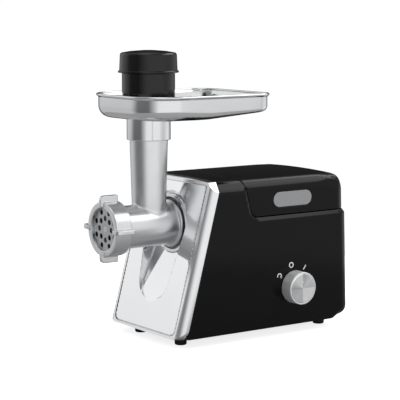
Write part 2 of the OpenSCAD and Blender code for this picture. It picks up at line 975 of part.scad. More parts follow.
module brush_holders() {
    color("#c9a54a") in_frame() for (side = [-1, 1]) {
        difference() {
            block([side * 22 - 10, 240, motor_z - 5], [side * 22 + 10, 251, motor_z + 5]);
            block([side * 22 - 11, 242, motor_z - 3], [side * 22 + 11, 249, motor_z + 3]);
        }
    }
}

module carbon_brushes() {
    color("#303030") in_frame() for (side = [-1, 1]) {
        block([side * 20 - 9, 242.1, motor_z - 2.9], [side * 20 + 9, 248.9, motor_z + 2.9]);
    }
}

module motor_bolts() {
    color("#8a8a8a") in_frame() for (side = [-1, 1]) {
        rod_y(bolt_axis(side), 2, stack_y - 12.1, stack_len + 16);
        rod_y(bolt_axis(side), 3.8, stack_end + 0.1, 3);
    }
}

module motor_cushion() {
    color("#1a1a1a") in_frame()
        block([-20, rear_plate_y - 3, base_top], [20, rear_plate_y, motor_z - 14]);
}

// ---------------------------------------------------------------- grinding head

module head_casting() {
    tube_low = axis_z + 10;
    draft = (tube_top_r - tube_low_r) / (240 - tube_low_z);
    color("#c7c9cb") in_frame() difference() {
        union() {
            rod_y(hub_axis, barrel_r, 19, flange_y[0] - 18.5);
            rod_y(hub_axis, thread_r, plate_y + 2, 20 - plate_y - 2);
            rod_y(hub_axis, flange_r, flange_y[0], flange_y[1] - flange_y[0]);
            // Thread turns
            for (i = [0 : 2]) {
                rod_y(hub_axis, thread_r + 0.15, 9 + i * 3.5, 1.2);
            }
            rod_y(hub_axis, 26, flange_y[1] - 0.1, spigot_y - flange_y[1] + 0.1);
            // Bayonet lugs
            for (a = [30, 150, 270]) {
                translate([0, 0, axis_z]) rotate([0, a, 0])
                    block([-5, flange_y[1] + 1.5, 20], [5, spigot_y, 30.5]);
            }
            // Feed tube, slightly wider at the top
            translate([0, feed_y, tube_low])
                cylinder(r1 = tube_low_r - draft * (tube_low_z - tube_low), r2 = tube_top_r,
                         h = 240 - tube_low);
            translate([0, feed_y, 240]) cylinder(r = tube_top_r, h = tube_top - 240);
            // Thickened foot of the tube
            translate([0, feed_y, tube_low]) cylinder(r1 = 24.5, r2 = tube_low_r, h = 22);
        }
        rod_y(hub_axis, bore_r, 0, 88.4);
        rod_y(hub_axis, chamber_r, 0, auger_y[0] + 0.4);
        rod_y(hub_axis, plate_r + 0.1, 0, plate_back);
        rod_y(hub_axis, 12, 80, 40);
        rod_y(hub_axis, 21, 96, 20);
        translate([0, feed_y, axis_z]) cylinder(r = feed_bore_r, h = 200);
    }
}

module rear_bush() {
    color("#e9e4d8") in_frame() sleeve_y(hub_axis, 11.95, shaft_r + fit_gap, 88, 7.9);
}

// Screw with one flight that turns about the axis
module auger() {
    length = auger_y[1] - auger_y[0];
    turns = 2.5;
    color("#b5b8ba") in_frame() translate([0, auger_y[0], axis_z]) rotate([-90, 0, 0])
        linear_extrude(length, twist = 360 * turns, slices = 40, $fn = 16) {
            circle(r = auger_core_r);
            polygon([[0, 0], [auger_r * cos(10), -auger_r * sin(10)], [auger_r, 0],
                     [auger_r * cos(10), auger_r * sin(10)]]);
        }
}

module auger_shaft() {
    color("#9fa3a6") in_frame() {
        rod_y(hub_axis, shaft_r, auger_y[1], hex_y - auger_y[1]);
        translate([0, 0, axis_z]) along_y(hex_y, hex_end - hex_y - 0.4) circle(r = hex_r, $fn = 6);
        rod_y(hub_axis, auger_core_r, auger_y[1], 1.8);
    }
}

module blade_stud() {
    color("#aeb1b4") in_frame() {
        block([-4.5, plate_back + 0.2, axis_z - 4.5], [4.5, auger_y[0], axis_z + 4.5]);
        rod_y(hub_axis, stud_r, plate_y, plate_t + 0.3);
    }
}

module cutting_blade() {
    color("#d3d5d7") in_frame() difference() {
        union() {
            rod_y(hub_axis, 9, plate_back + 0.2, blade_t);
            for (i = [0 : 3]) {
                translate([0, 0, axis_z]) rotate([0, i * 90, 0]) translate([-3.5, 0, 0])
                    block([0, plate_back + 0.2, 0], [8, plate_back + 0.2 + blade_t, 24]);
            }
        }
        block([-4.55, 0, axis_z - 4.55], [4.55, 40, axis_z + 4.55]);
    }
}

module grinding_plate() {
    hole_r = 3.1;
    color("#a9adb0") in_frame() difference() {
        rod_y(hub_axis, plate_r, plate_y, plate_t);
        rod_y(hub_axis, stud_r + fit_gap, 0, 20);
        for (i = [0 : 7]) {
            rod_y(along(hub_axis, 12.7, i * 45), hole_r, 0, 20);
            rod_y(along(hub_axis, 20.8, i * 45 + 22.5), hole_r, 0, 20);
        }
    }
}

module ring_nut() {
    lug_w = 5.5;
    lug_r = 39.5;
    mouth_r = 25;
    color("#c2c4c6") in_frame() difference() {
        union() {
            rotate_y_at(hub_axis) rotate_extrude() polygon([
                [0, 0], [nut_r - 1.5, 0], [nut_r, 1.5], [nut_r, nut_len - 1],
                [nut_r - 1, nut_len], [0, nut_len]
            ]);
            // Lugs that run over the face and back along the side
            for (i = [0 : 3]) {
                translate([0, 0, axis_z]) rotate([0, i * 90, 0]) across(lug_w) polygon([
                    [-rib_out, mouth_r + 1.5], [-rib_out, lug_r - 5], [-0.5, lug_r - 0.8],
                    [0.8, lug_r], [nut_len - 1, lug_r], [nut_len - 1, nut_r - 3], [1, nut_r - 3],
                    [1, mouth_r + 1.5]
                ]);
            }
        }
        rod_y(hub_axis, mouth_r, -1, 40);
        rotate_y_at(hub_axis) translate([0, 0, -0.01])
            cylinder(r1 = mouth_r + 1, r2 = mouth_r, h = 1);
        rod_y(hub_axis, thread_r + 0.45, lip_t, 40);
    }
}

// ---------------------------------------------------------------- tray and pusher

// Outline of the tray, inset all round, with wider corners at the front
module tray_outline(inset) {
    half = tray_w / 2 - inset;
    front_r = tray_front_r - inset;
    rear_r = tray_rear_r - inset;
    hull() for (side = [-1, 1]) {
        translate([side * (half - front_r), tray_y0 + inset + front_r]) circle(r = front_r);
        translate([side * (half - rear_r), tray_y1 - inset - rear_r]) circle(r = rear_r);
    }
}

// Pan of the tray, drawn in on all sides by t and raised by t
module pan_form(t) {
    lip = 2.5;
    half = tray_w / 2 - lip - t;
    y0 = tray_y0 + lip + t;
    y1 = tray_y1 - lip - t;
    bevel = 8;
    top = rim_z + 1;
    intersection() {
        translate([0, 0, floor_z - 1]) linear_extrude(top - floor_z + 1) tray_outline(lip + t);
        across(tray_w) polygon([
            [y0, top], [y0, floor_z + bevel + t], [y0 + bevel, floor_z + t],
            [slope_y, floor_z + t], [y1 - bevel, floor_rear_z + t],
            [y1, floor_rear_z + 5 + t], [y1, top]
        ]);
        along_y(0, 260) polygon([
            [-half, top], [-half, floor_z + bevel + 2 + t], [-half + bevel, floor_z + t - 1],
            [half - bevel, floor_z + t - 1], [half, floor_z + bevel + 2 + t], [half, top]
        ]);
    }
}

module feed_tray() {
    color("#c6c8ca") in_frame() difference() {
        union() {
            intersection() {
                pan_form(0);
                block([-100, 0, 200], [100, 300, rim_z]);
            }
            translate([0, 0, rim_z - 2.4]) linear_extrude(2.4) tray_outline(0);
        }
        pan_form(tray_t);
        translate([0, feed_y, 200]) cylinder(r = feed_bore_r + 0.4, h = 100);
    }
}

// Rolled collar under the tray that sits over the feed tube
module tray_collar() {
    color("#c0c2c4") in_frame() translate([0, feed_y, sleeve_low]) difference() {
        cylinder(r = sleeve_r, h = floor_z - sleeve_low);
        translate([0, 0, -1]) cylinder(r = tube_top_r + slack, h = 60);
    }
}

module pusher() {
    neck_top = 330;
    color("#101010") in_frame() translate([0, feed_y, 0]) rotate_extrude() polygon([
        [0, stem_low], [stem_r - 1.5, stem_low], [stem_r, stem_low + 1.5], [stem_r, cup_low],
        [pusher_r - 1, cup_low], [pusher_r, cup_low + 1], [pusher_r, cap_low - 0.3],
        [neck_r, cap_low - 0.3], [neck_r, neck_top], [neck_r - 2.2, neck_top],
        [neck_r - 2.2, cup_low + 2.5], [stem_r - 2.5, cup_low + 2.5],
        [stem_r - 2.5, stem_low + 2.5], [0, stem_low + 2.5]
    ]);
}

module pusher_cap() {
    ring_r = pusher_r + 4.5;
    wide_r = pusher_r + 3.1;
    narrow_r = pusher_r + 2.1;
    in_r = neck_r + slack;
    color("#0d0d0d") in_frame() translate([0, feed_y, 0]) rotate_extrude() polygon([
        [in_r, cap_low], [ring_r - 0.5, cap_low], [ring_r, cap_low + 0.5], [ring_r, cap_low + 1.8],
        [ring_r - 0.5, cap_low + 2.3], [wide_r, cap_low + 2.3], [narrow_r, pusher_top - 6],
        [narrow_r - 0.8, pusher_top - 4], [narrow_r - 2.6, pusher_top - 2.9],
        [narrow_r - 12, pusher_top - 1.2], [0, pusher_top],
        [0, pusher_top - 3], [in_r, pusher_top - 5]
    ]);
}

// ---------------------------------------------------------------- drawing

base_plate();
main_shell();
front_bezel();
front_panel();
socket_ring();
release_button();
release_spring();
storage_tray();
storage_cover();
grip_plate_right();
grip_plate_left();
rotary_switch();
control_knob();
knob_disc();
switch_shaft();
control_board();
filter_capacitor();
cord_gland();
foot_front_right();
foot_front_left();
foot_rear_right();
foot_rear_left();
foot_screws();
housing_screws();
gearbox_housing();
gearbox_cover();
gearbox_screws();
hub_bearing();
hub_seal();
first_axle();
second_axle();
first_gear();
second_gear();
output_gear();
drive_hub();
motor_shaft();
rotor_core();
commutator();
cooling_fan();
stator_core();
field_coils();
front_bearing();
rear_bearing();
motor_bracket();
brush_holders();
carbon_brushes();
motor_bolts();
motor_cushion();
head_casting();
rear_bush();
auger();
auger_shaft();
blade_stud();
cutting_blade();
grinding_plate();
ring_nut();
feed_tray();
tray_collar();
pusher();
pusher_cap();
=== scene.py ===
"""Looks of an electric meat grinder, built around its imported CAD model.

Inside the shape functions, lengths are millimetres in the grinder's own layout: X = 0 on the
mid-plane, Y = 0 on the face of the ring nut with +Y to the rear, and Z = 0 on the table.
"""

import json
import math

import bmesh
import bpy
import numpy as np
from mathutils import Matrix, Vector


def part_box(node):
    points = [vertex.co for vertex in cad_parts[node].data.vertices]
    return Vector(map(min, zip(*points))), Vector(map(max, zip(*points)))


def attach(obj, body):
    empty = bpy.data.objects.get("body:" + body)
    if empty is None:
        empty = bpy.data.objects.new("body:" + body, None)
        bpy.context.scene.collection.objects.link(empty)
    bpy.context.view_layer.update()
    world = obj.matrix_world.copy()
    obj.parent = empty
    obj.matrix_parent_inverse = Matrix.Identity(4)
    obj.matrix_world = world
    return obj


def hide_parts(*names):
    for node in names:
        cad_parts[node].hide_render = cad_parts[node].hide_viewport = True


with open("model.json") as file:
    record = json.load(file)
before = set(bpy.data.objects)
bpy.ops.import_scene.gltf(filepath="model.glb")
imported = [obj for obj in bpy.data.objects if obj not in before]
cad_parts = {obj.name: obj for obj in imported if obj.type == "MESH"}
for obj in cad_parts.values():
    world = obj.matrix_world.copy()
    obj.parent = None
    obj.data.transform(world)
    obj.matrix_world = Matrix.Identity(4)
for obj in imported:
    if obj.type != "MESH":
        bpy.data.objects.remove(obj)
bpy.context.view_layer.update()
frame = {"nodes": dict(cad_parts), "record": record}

MM = 0.001
SLOT_OF = {part["node"]: part["material_slot"] for part in frame["record"]["subparts"]}
BODY_OF = {n: b for b, members in frame["record"]["behaviour"]["bodies"].items() for n in members}

# ------------------------ sizes read from the frame

PLATE_SETBACK = 4.1
shell_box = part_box("main_shell")
ORIGIN = np.array([
    (shell_box[0].x + shell_box[1].x) / 2 / MM,
    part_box("grinding_plate")[0].y / MM - PLATE_SETBACK,
    0.0,
])


def limits(node):
    """Lowest and highest corner of a CAD node in the grinder's own layout, in millimetres."""
    low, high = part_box(node)
    return np.array(low) / MM - ORIGIN, np.array(high) / MM - ORIGIN


shell_low, shell_high = limits("main_shell")
cover_low, cover_high = limits("storage_cover")
bezel_low, _ = limits("front_bezel")
plate_low, plate_high = limits("grinding_plate")
nut_low, nut_high = limits("ring_nut")
head_low, head_high = limits("head_casting")
tray_low, tray_high = limits("feed_tray")
collar_low, collar_high = limits("tray_collar")
pusher_low, pusher_high = limits("pusher")
cap_low, cap_high = limits("pusher_cap")
knob_low, knob_high = limits("control_knob")
disc_low, disc_high = limits("knob_disc")

HALF_WIDTH = shell_high[0]
TOP = shell_high[2]
LOW = shell_low[2]
AXIS_Z = (plate_low[2] + plate_high[2]) / 2
FEED_Y = (pusher_low[1] + pusher_high[1]) / 2
KNOB_Y, KNOB_Z = (knob_low[1:] + knob_high[1:]) / 2

# Lean of the front panel and draft of the rear wall
LEAN = math.radians(15)
DRAFT = math.radians(2)

# Feet of the sloping faces: panel and rear wall at Z = 0, and the cover's front at COVER_Z
BEZEL_DEPTH = 11.5
PANEL_FOOT = bezel_low[1] - bezel_low[2] * math.tan(LEAN)
REAR_FOOT = shell_high[1] + LOW * math.tan(DRAFT)
COVER_Z = cover_low[2]
COVER_FOOT = 161.7
COVER_INSET = HALF_WIDTH - cover_high[0]

# Housing form: the band below the cover, the crown, the cut top edges and the corner radii
BAND = 4.4
CROWN_DROP = 2.5
CROWN_R = HALF_WIDTH ** 2 / (2 * CROWN_DROP)
EDGE_CUT, SIDE_SOFT, REAR_SOFT = 10.8, 3.0, 9.0
CORNER_R, REAR_LOW_R, LOW_EDGE_R = 17.0, 12.0, 0.8
WALL = 3.0


def panel_y(z):
    """Depth of the front panel's face at a height."""
    return PANEL_FOOT + z * math.tan(LEAN)


def rear_y(z):
    """Depth of the rear wall at a height."""
    return REAR_FOOT - z * math.tan(DRAFT)


def cover_front_y(z):
    """Depth of the joint in front of the storage cover at a height."""
    return COVER_FOOT - (z - COVER_Z) * math.tan(LEAN)


# ------------------------ distance fields


def meet(a, b, r=0.0):
    """Intersection of two solids, its edge rounded to radius r."""
    if np.isscalar(r) and r == 0:
        return np.maximum(a, b)
    over = np.hypot(np.maximum(r + a, 0), np.maximum(r + b, 0))
    return np.minimum(-r, np.maximum(a, b)) + over


def join(a, b, r=0.0):
    """Union of two solids, with a fillet of radius r between them."""
    return -meet(-a, -b, r)


def cut(a, b, r=0.0):
    """Solid a without solid b."""
    return meet(a, -b, r)


def slab(value, low, high):
    """Distance past either end of a range."""
    return np.maximum(low - value, value - high)


def rod(x, z, r, centre_z=AXIS_Z):
    """Distance to a cylinder along Y."""
    return np.hypot(x, z - centre_z) - r


def surface_net(field, low, high, step):
    """Vertices, faces and normals of the surface where field(x, y, z) is zero."""
    axes = [np.arange(low[i] - 2 * step, high[i] + 3 * step, step) for i in range(3)]
    value = field(*np.meshgrid(*axes, indexing="ij"))
    inside = value < 0
    cells = tuple(n - 1 for n in value.shape)
    offsets = [(i, j, k) for i in (0, 1) for j in (0, 1) for k in (0, 1)]

    def corner(array, o):
        return array[o[0]:o[0] + cells[0], o[1]:o[1] + cells[1], o[2]:o[2] + cells[2]]

    filled = sum(corner(inside, o).astype(np.int8) for o in offsets)
    mixed = (filled > 0) & (filled < 8)
    number = np.full(cells, -1)
    number[mixed] = np.arange(mixed.sum())
    values = [corner(value, o)[mixed] for o in offsets]
    total = np.zeros((mixed.sum(), 3))
    crossings = np.zeros(mixed.sum())
    for a, first in enumerate(offsets):
        for b in range(a + 1, 8):
            second = offsets[b]
            if sum(abs(p - q) for p, q in zip(first, second)) != 1:
                continue
            crossed = (values[a] < 0) != (values[b] < 0)
            share = np.where(crossed, values[a] / np.where(crossed, values[a] - values[b], 1), 0)
            for i in range(3):
                total[:, i] += crossed * (first[i] + share * (second[i] - first[i]))
            crossings += crossed
    points = np.argwhere(mixed) + total / crossings[:, None]
    points = points * step + np.array([axis[0] for axis in axes])
    points, normals = settle(field, points, step)
    return points, net_faces(inside, number), normals


def settle(field, points, step):
    """Moves points onto the surface by Newton steps, and gives the surface's normals there."""
    reach = 0.02 * step
    for _ in range(4):
        value = field(*points.T)
        slope = np.stack([
            (field(*(points + reach * unit).T) - field(*(points - reach * unit).T)) / (2 * reach)
            for unit in np.eye(3)
        ], axis=1)
        size = np.maximum((slope ** 2).sum(1), 0.05)
        move = slope * (value / size)[:, None]
        points = points - np.clip(move, -0.3 * step, 0.3 * step)
    return points, slope / np.maximum(np.linalg.norm(slope, axis=1), 1e-6)[:, None]


def net_faces(inside, number):
    """One quad for every grid edge that the surface crosses, facing outwards."""
    faces = []
    for axis in range(3):
        u, v = (axis + 1) % 3, (axis + 2) % 3
        start = np.take(inside, range(inside.shape[axis] - 1), axis)
        end = np.take(inside, range(1, inside.shape[axis]), axis)
        for crossing, order in ((start & ~end, (0, 1, 2, 3)), (~start & end, (3, 2, 1, 0))):
            at = np.argwhere(crossing)
            at = at[(at[:, u] > 0) & (at[:, v] > 0)]
            quad = []
            for du, dv in ((1, 1), (0, 1), (0, 0), (1, 0)):
                cell = at.copy()
                cell[:, u] -= du
                cell[:, v] -= dv
                quad.append(number[tuple(cell.T)])
            faces.append(np.stack([quad[i] for i in order], axis=1))
    return np.concatenate(faces)


# ------------------------ pieces


def place(name, data):
    """New object in the scene."""
    obj = bpy.data.objects.new(name, data)
    bpy.context.scene.collection.objects.link(obj)
    return obj


def refine(node, mesh):
    """Shows a mesh in place of a CAD node, on its body and with the finish of its slot."""
    piece = place(f"{node}_formed", mesh)
    mesh.materials.clear()
    mesh.materials.append(finish(SLOT_OF[node]))
    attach(piece, BODY_OF[node])
    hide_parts(node)
    return piece


def shade_smooth(mesh):
    mesh.polygons.foreach_set("use_smooth", [True] * len(mesh.polygons))


def field_mesh(name, field, low, high, step):
    """Mesh of a distance field, shaded with the field's own normals."""
    points, faces, normals = surface_net(field, low, high, step)
    mesh = bpy.data.meshes.new(name)
    mesh.from_pydata(((points + ORIGIN) * MM).tolist(), [], faces.tolist())
    shade_smooth(mesh)
    mesh.normals_split_custom_set_from_vertices(normals.tolist())
    return mesh


def bm_mesh(name, bm, sharp=35):
    """Mesh of a bmesh in grinder millimetres, smooth but for edges over an angle in degrees."""
    bmesh.ops.remove_doubles(bm, verts=bm.verts, dist=1e-4)
    bmesh.ops.recalc_face_normals(bm, faces=bm.faces)
    for vert in bm.verts:
        vert.co = (vert.co + Vector(ORIGIN)) * MM
    mesh = bpy.data.meshes.new(name)
    bm.to_mesh(mesh)
    bm.free()
    shade_smooth(mesh)
    mesh.set_sharp_from_angle(angle=math.radians(sharp))
    return mesh


def bridge(bm, low, high):
    """Quads between two rings of vertices."""
    for i, vert in enumerate(low):
        j = (i + 1) % len(low)
        bm.faces.new((vert, low[j], high[j], high[i]))


def loft(name, rings, sharp=35):
    """Skin over rings of equal length, with the last ring joined to the first."""
    bm = bmesh.new()
    rows = [[bm.verts.new(point) for point in ring] for ring in rings]
    for low, high in zip(rows, rows[1:] + rows[:1]):
        bridge(bm, low, high)
    return bm_mesh(name, bm, sharp)


def filleted(corners):
    """Points along a closed outline of (x, y, radius) corners, each rounded to its radius."""
    outline = []
    count = len(corners)
    for i, (x, y, r) in enumerate(corners):
        here = np.array([x, y], float)
        if r == 0:
            outline.append(here)
            continue
        before = np.array(corners[i - 1][:2]) - here
        after = np.array(corners[(i + 1) % count][:2]) - here
        room = 0.49 * min(np.linalg.norm(before), np.linalg.norm(after))
        before /= np.linalg.norm(before)
        after /= np.linalg.norm(after)
        half = math.acos(np.clip(before @ after, -1, 1)) / 2
        setback = min(r / math.tan(half), room)
        r = setback * math.tan(half)
        middle = here + (before + after) / np.linalg.norm(before + after) * r / math.sin(half)
        start = here + before * setback - middle
        end = here + after * setback - middle
        for t in np.linspace(0, 1, 7):
            arm = start * (1 - t) + end * t
            outline.append(middle + arm / np.linalg.norm(arm) * r)
    return outline


def lathe(name, corners, centre, axis, segments=128, sharp=35, radius_at=None):
    """Solid turned about an axis through centre, from (radius, height, fillet) corners."""
    side = Vector((1, 0, 0)) if axis[2] else Vector((0, 0, 1))
    up = Vector(axis).cross(side)
    rings = []
    for r, h in filleted(corners):
        ring = []
        for i in range(segments):
            a = 2 * math.pi * i / segments
            reach = max(r, 0) + (radius_at(a, r) if radius_at else 0)
            arm = side * math.cos(a) + up * math.sin(a)
            ring.append(Vector(centre) + Vector(axis) * h + arm * reach)
        rings.append(ring)
    return loft(name, rings, sharp)


def softened(node, width, reshape=None):
    """Copy of a CAD node's mesh with its edges rounded over, reshaped first where asked."""
    same_point, same_plane, sharp_edge = 2e-6, math.radians(0.4), math.radians(30)
    bm = bmesh.new()
    bm.from_mesh(frame["nodes"][node].data)
    bmesh.ops.remove_doubles(bm, verts=bm.verts, dist=same_point)
    bmesh.ops.dissolve_limit(bm, angle_limit=same_plane, verts=bm.verts, edges=bm.edges)
    if reshape:
        reshape(bm)
        bmesh.ops.remove_doubles(bm, verts=bm.verts, dist=same_point)
    mesh = bpy.data.meshes.new(f"{node}_soft")
    bm.to_mesh(mesh)
    bm.free()
    shade_smooth(mesh)
    piece = refine(node, mesh)
    bevel = piece.modifiers.new("edges", "BEVEL")
    bevel.width = width * MM
    bevel.segments = 3
    bevel.limit_method = "ANGLE"
    bevel.angle_limit = sharp_edge
    bevel.harden_normals = True
    weighted = piece.modifiers.new("normals", "WEIGHTED_NORMAL")
    weighted.keep_sharp = True
    return piece


# ------------------------ materials


class Nodes:
    """Node tree, with short calls for adding and linking nodes."""

    def __init__(self, tree):
        self.tree = tree

    def link(self, source, target):
        self.tree.links.new(source, target)

    def feed(self, socket, value):
        """Sets a socket to a number or a grey, or links another node's output to it."""
        if not isinstance(value, (int, float)):
            self.link(value, socket)
        elif socket.type == "RGBA":
            socket.default_value = (value, value, value, 1)
        else:
            socket.default_value = value

    def add(self, kind, *sources, **settings):
        """New node with its settings, and with its inputs fed in their order."""
        node = self.tree.nodes.new(kind)
        for key, value in settings.items():
            setattr(node, key, value)
        for socket, source in zip(node.inputs, sources):
            self.feed(socket, source)
        return node

    def ramp(self, value, stops):
        """Colour ramp through (position, colour) stops."""
        node = self.add("ShaderNodeValToRGB", value)
        for _ in range(len(stops) - 2):
            node.color_ramp.elements.new(0.5)
        for element, (position, colour) in zip(node.color_ramp.elements, stops):
            element.position = position
            element.color = (*colour, 1)
        return node.outputs["Color"]


class Finish(Nodes):
    """Node tree of a material, with short calls for what the finishes use."""

    def __init__(self, name):
        self.material = bpy.data.materials.new(name)
        self.material.use_nodes = True
        super().__init__(self.material.node_tree)
        self.shader = self.tree.nodes["Principled BSDF"]
        self.place = self.add("ShaderNodeTexCoord").outputs["Object"]

    def set(self, **values):
        """Constants on the shader's own sockets."""
        for key, value in values.items():
            self.shader.inputs[key.replace("_", " ")].default_value = value

    def mapped(self, **settings):
        """The object's own coordinates, moved or scaled."""
        mapping = self.add("ShaderNodeMapping", self.place)
        for key, value in settings.items():
            mapping.inputs[key].default_value = value
        return mapping.outputs["Vector"]

    def noise(self, scale, detail, stretch=(1, 1, 1)):
        """Cloudy noise, drawn out along an axis where its stretch is below 1."""
        node = self.add("ShaderNodeTexNoise")
        node.inputs["Scale"].default_value = scale
        node.inputs["Detail"].default_value = detail
        self.link(self.mapped(Scale=stretch), node.inputs["Vector"])
        return node.outputs["Fac"]

    def ranged(self, value, low, high, start=0.3, stop=0.7):
        """A value whose range from start to stop is carried over to low to high."""
        node = self.add("ShaderNodeMapRange")
        node.inputs["From Min"].default_value = start
        node.inputs["From Max"].default_value = stop
        node.inputs["To Min"].default_value = low
        node.inputs["To Max"].default_value = high
        self.link(value, node.inputs["Value"])
        return node.outputs["Result"]

    def colour(self, value, stops):
        """Drives the base colour with a value through a colour ramp."""
        self.link(self.ramp(value, stops), self.shader.inputs["Base Color"])

    def relief(self, height, strength, distance):
        """Drives the shading normal with a height."""
        node = self.add("ShaderNodeBump")
        node.inputs["Strength"].default_value = strength
        node.inputs["Distance"].default_value = distance
        self.link(height, node.inputs["Height"])
        self.link(node.outputs["Normal"], self.shader.inputs["Normal"])


def shade(colour, factor):
    """A colour made lighter or darker, no channel over 1."""
    return tuple(min(1.0, c * factor) for c in colour)


def metal(name, colour, rough, grain=(1, 1, 1), grain_scale=900, bump=0.05, tint=0.06,
          metallic=1.0):
    """Metal with a fine grain, cloudy polish and slightly uneven colour."""
    g = Finish(name)
    clouds = g.noise(scale=38, detail=4)
    fine = g.noise(grain_scale, detail=2, stretch=grain)
    scuffs = g.noise(scale=150, detail=5, stretch=grain)
    g.colour(clouds, [(0.3, shade(colour, 1 - tint)), (0.7, shade(colour, 1 + tint))])
    g.link(g.ranged(scuffs, *rough), g.shader.inputs["Roughness"])
    g.relief(fine, bump, distance=0.0002)
    g.set(Metallic=metallic)
    return g


def plastic(name, colour, rough, grain_scale=1400, bump=0.06, tint=0.12, specular=0.5):
    """Moulded plastic with a fine texture and faint handling marks in its gloss."""
    g = Finish(name)
    clouds = g.noise(scale=24, detail=5)
    scuffs = g.noise(scale=70, detail=6)
    g.colour(clouds, [(0.25, shade(colour, 1 - tint)), (0.75, shade(colour, 1 + tint))])
    g.link(g.ranged(scuffs, *rough), g.shader.inputs["Roughness"])
    g.relief(g.noise(grain_scale, detail=2), bump, distance=0.0001)
    g.set(Specular_IOR_Level=specular)
    return g


def banded(name, colour, rough, direction, scale, dark, light):
    """Metal with even bands in its colour and relief, as of laminations or windings."""
    g = metal(name, colour, rough)
    wave = g.add("ShaderNodeTexWave", wave_type="BANDS", bands_direction=direction)
    wave.inputs["Scale"].default_value = scale
    wave.inputs["Distortion"].default_value = 0.4
    g.link(g.place, wave.inputs["Vector"])
    g.colour(wave.outputs["Fac"], [(0.2, dark), (0.8, light)])
    g.relief(wave.outputs["Fac"], strength=0.3, distance=0.0002)
    return g


# Painted highlight and painted shade on the knob's face: its brightness by the angle from +Y towards
# +Z in degrees, standing in for the fan of reflections on turned metal
PAINTED_HIGHLIGHT_SECTORS = [(-180, 0.7), (-135, 0.8), (-92, 0.74), (-88, 1.16), (-45, 1.16), (-2, 1.1), (2, 0.8),
           (45, 0.92), (88, 0.6), (92, 1.16), (135, 1.1), (178, 0.56)]


def spun_and_painted_sheen(name, colour, rough):
    """Turned aluminium: fine rings in the relief, with painted highlights and painted shade in
    sectors that fan out from the centre.
    """
    g = metal(name, colour, rough, grain_scale=1200, bump=0.02)
    low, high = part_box("knob_disc")
    from_centre = g.mapped(Location=-(low + high) / 2)
    rings = g.add("ShaderNodeTexWave", wave_type="RINGS", rings_direction="X")
    rings.inputs["Scale"].default_value = 420
    g.link(from_centre, rings.inputs["Vector"])
    g.relief(rings.outputs["Fac"], strength=0.04, distance=0.0001)
    _, y, z = g.add("ShaderNodeSeparateXYZ", from_centre).outputs
    turn = g.add("ShaderNodeMath", z, y, operation="ARCTAN2")
    share = g.ranged(turn.outputs["Value"], 0.0, 1.0, -math.pi, math.pi)
    # Painted highlight and painted shade: the base colour is lighter or darker by the angle round the
    # face's centre
    g.colour(share, [(angle / 360 + 0.5, shade(colour, light)) for angle, light in PAINTED_HIGHLIGHT_SECTORS])
    return g


def circuit_board(name, colour, rough, gap_colour):
    """Board whose tracks are a net of lines in its own colour, on gaps of another."""
    g = plastic(name, colour, rough)
    tracks = g.add("ShaderNodeTexVoronoi", feature="DISTANCE_TO_EDGE")
    tracks.inputs["Scale"].default_value = 260
    g.link(g.place, tracks.inputs["Vector"])
    g.colour(tracks.outputs["Distance"], [(0.04, colour), (0.1, gap_colour)])
    return g


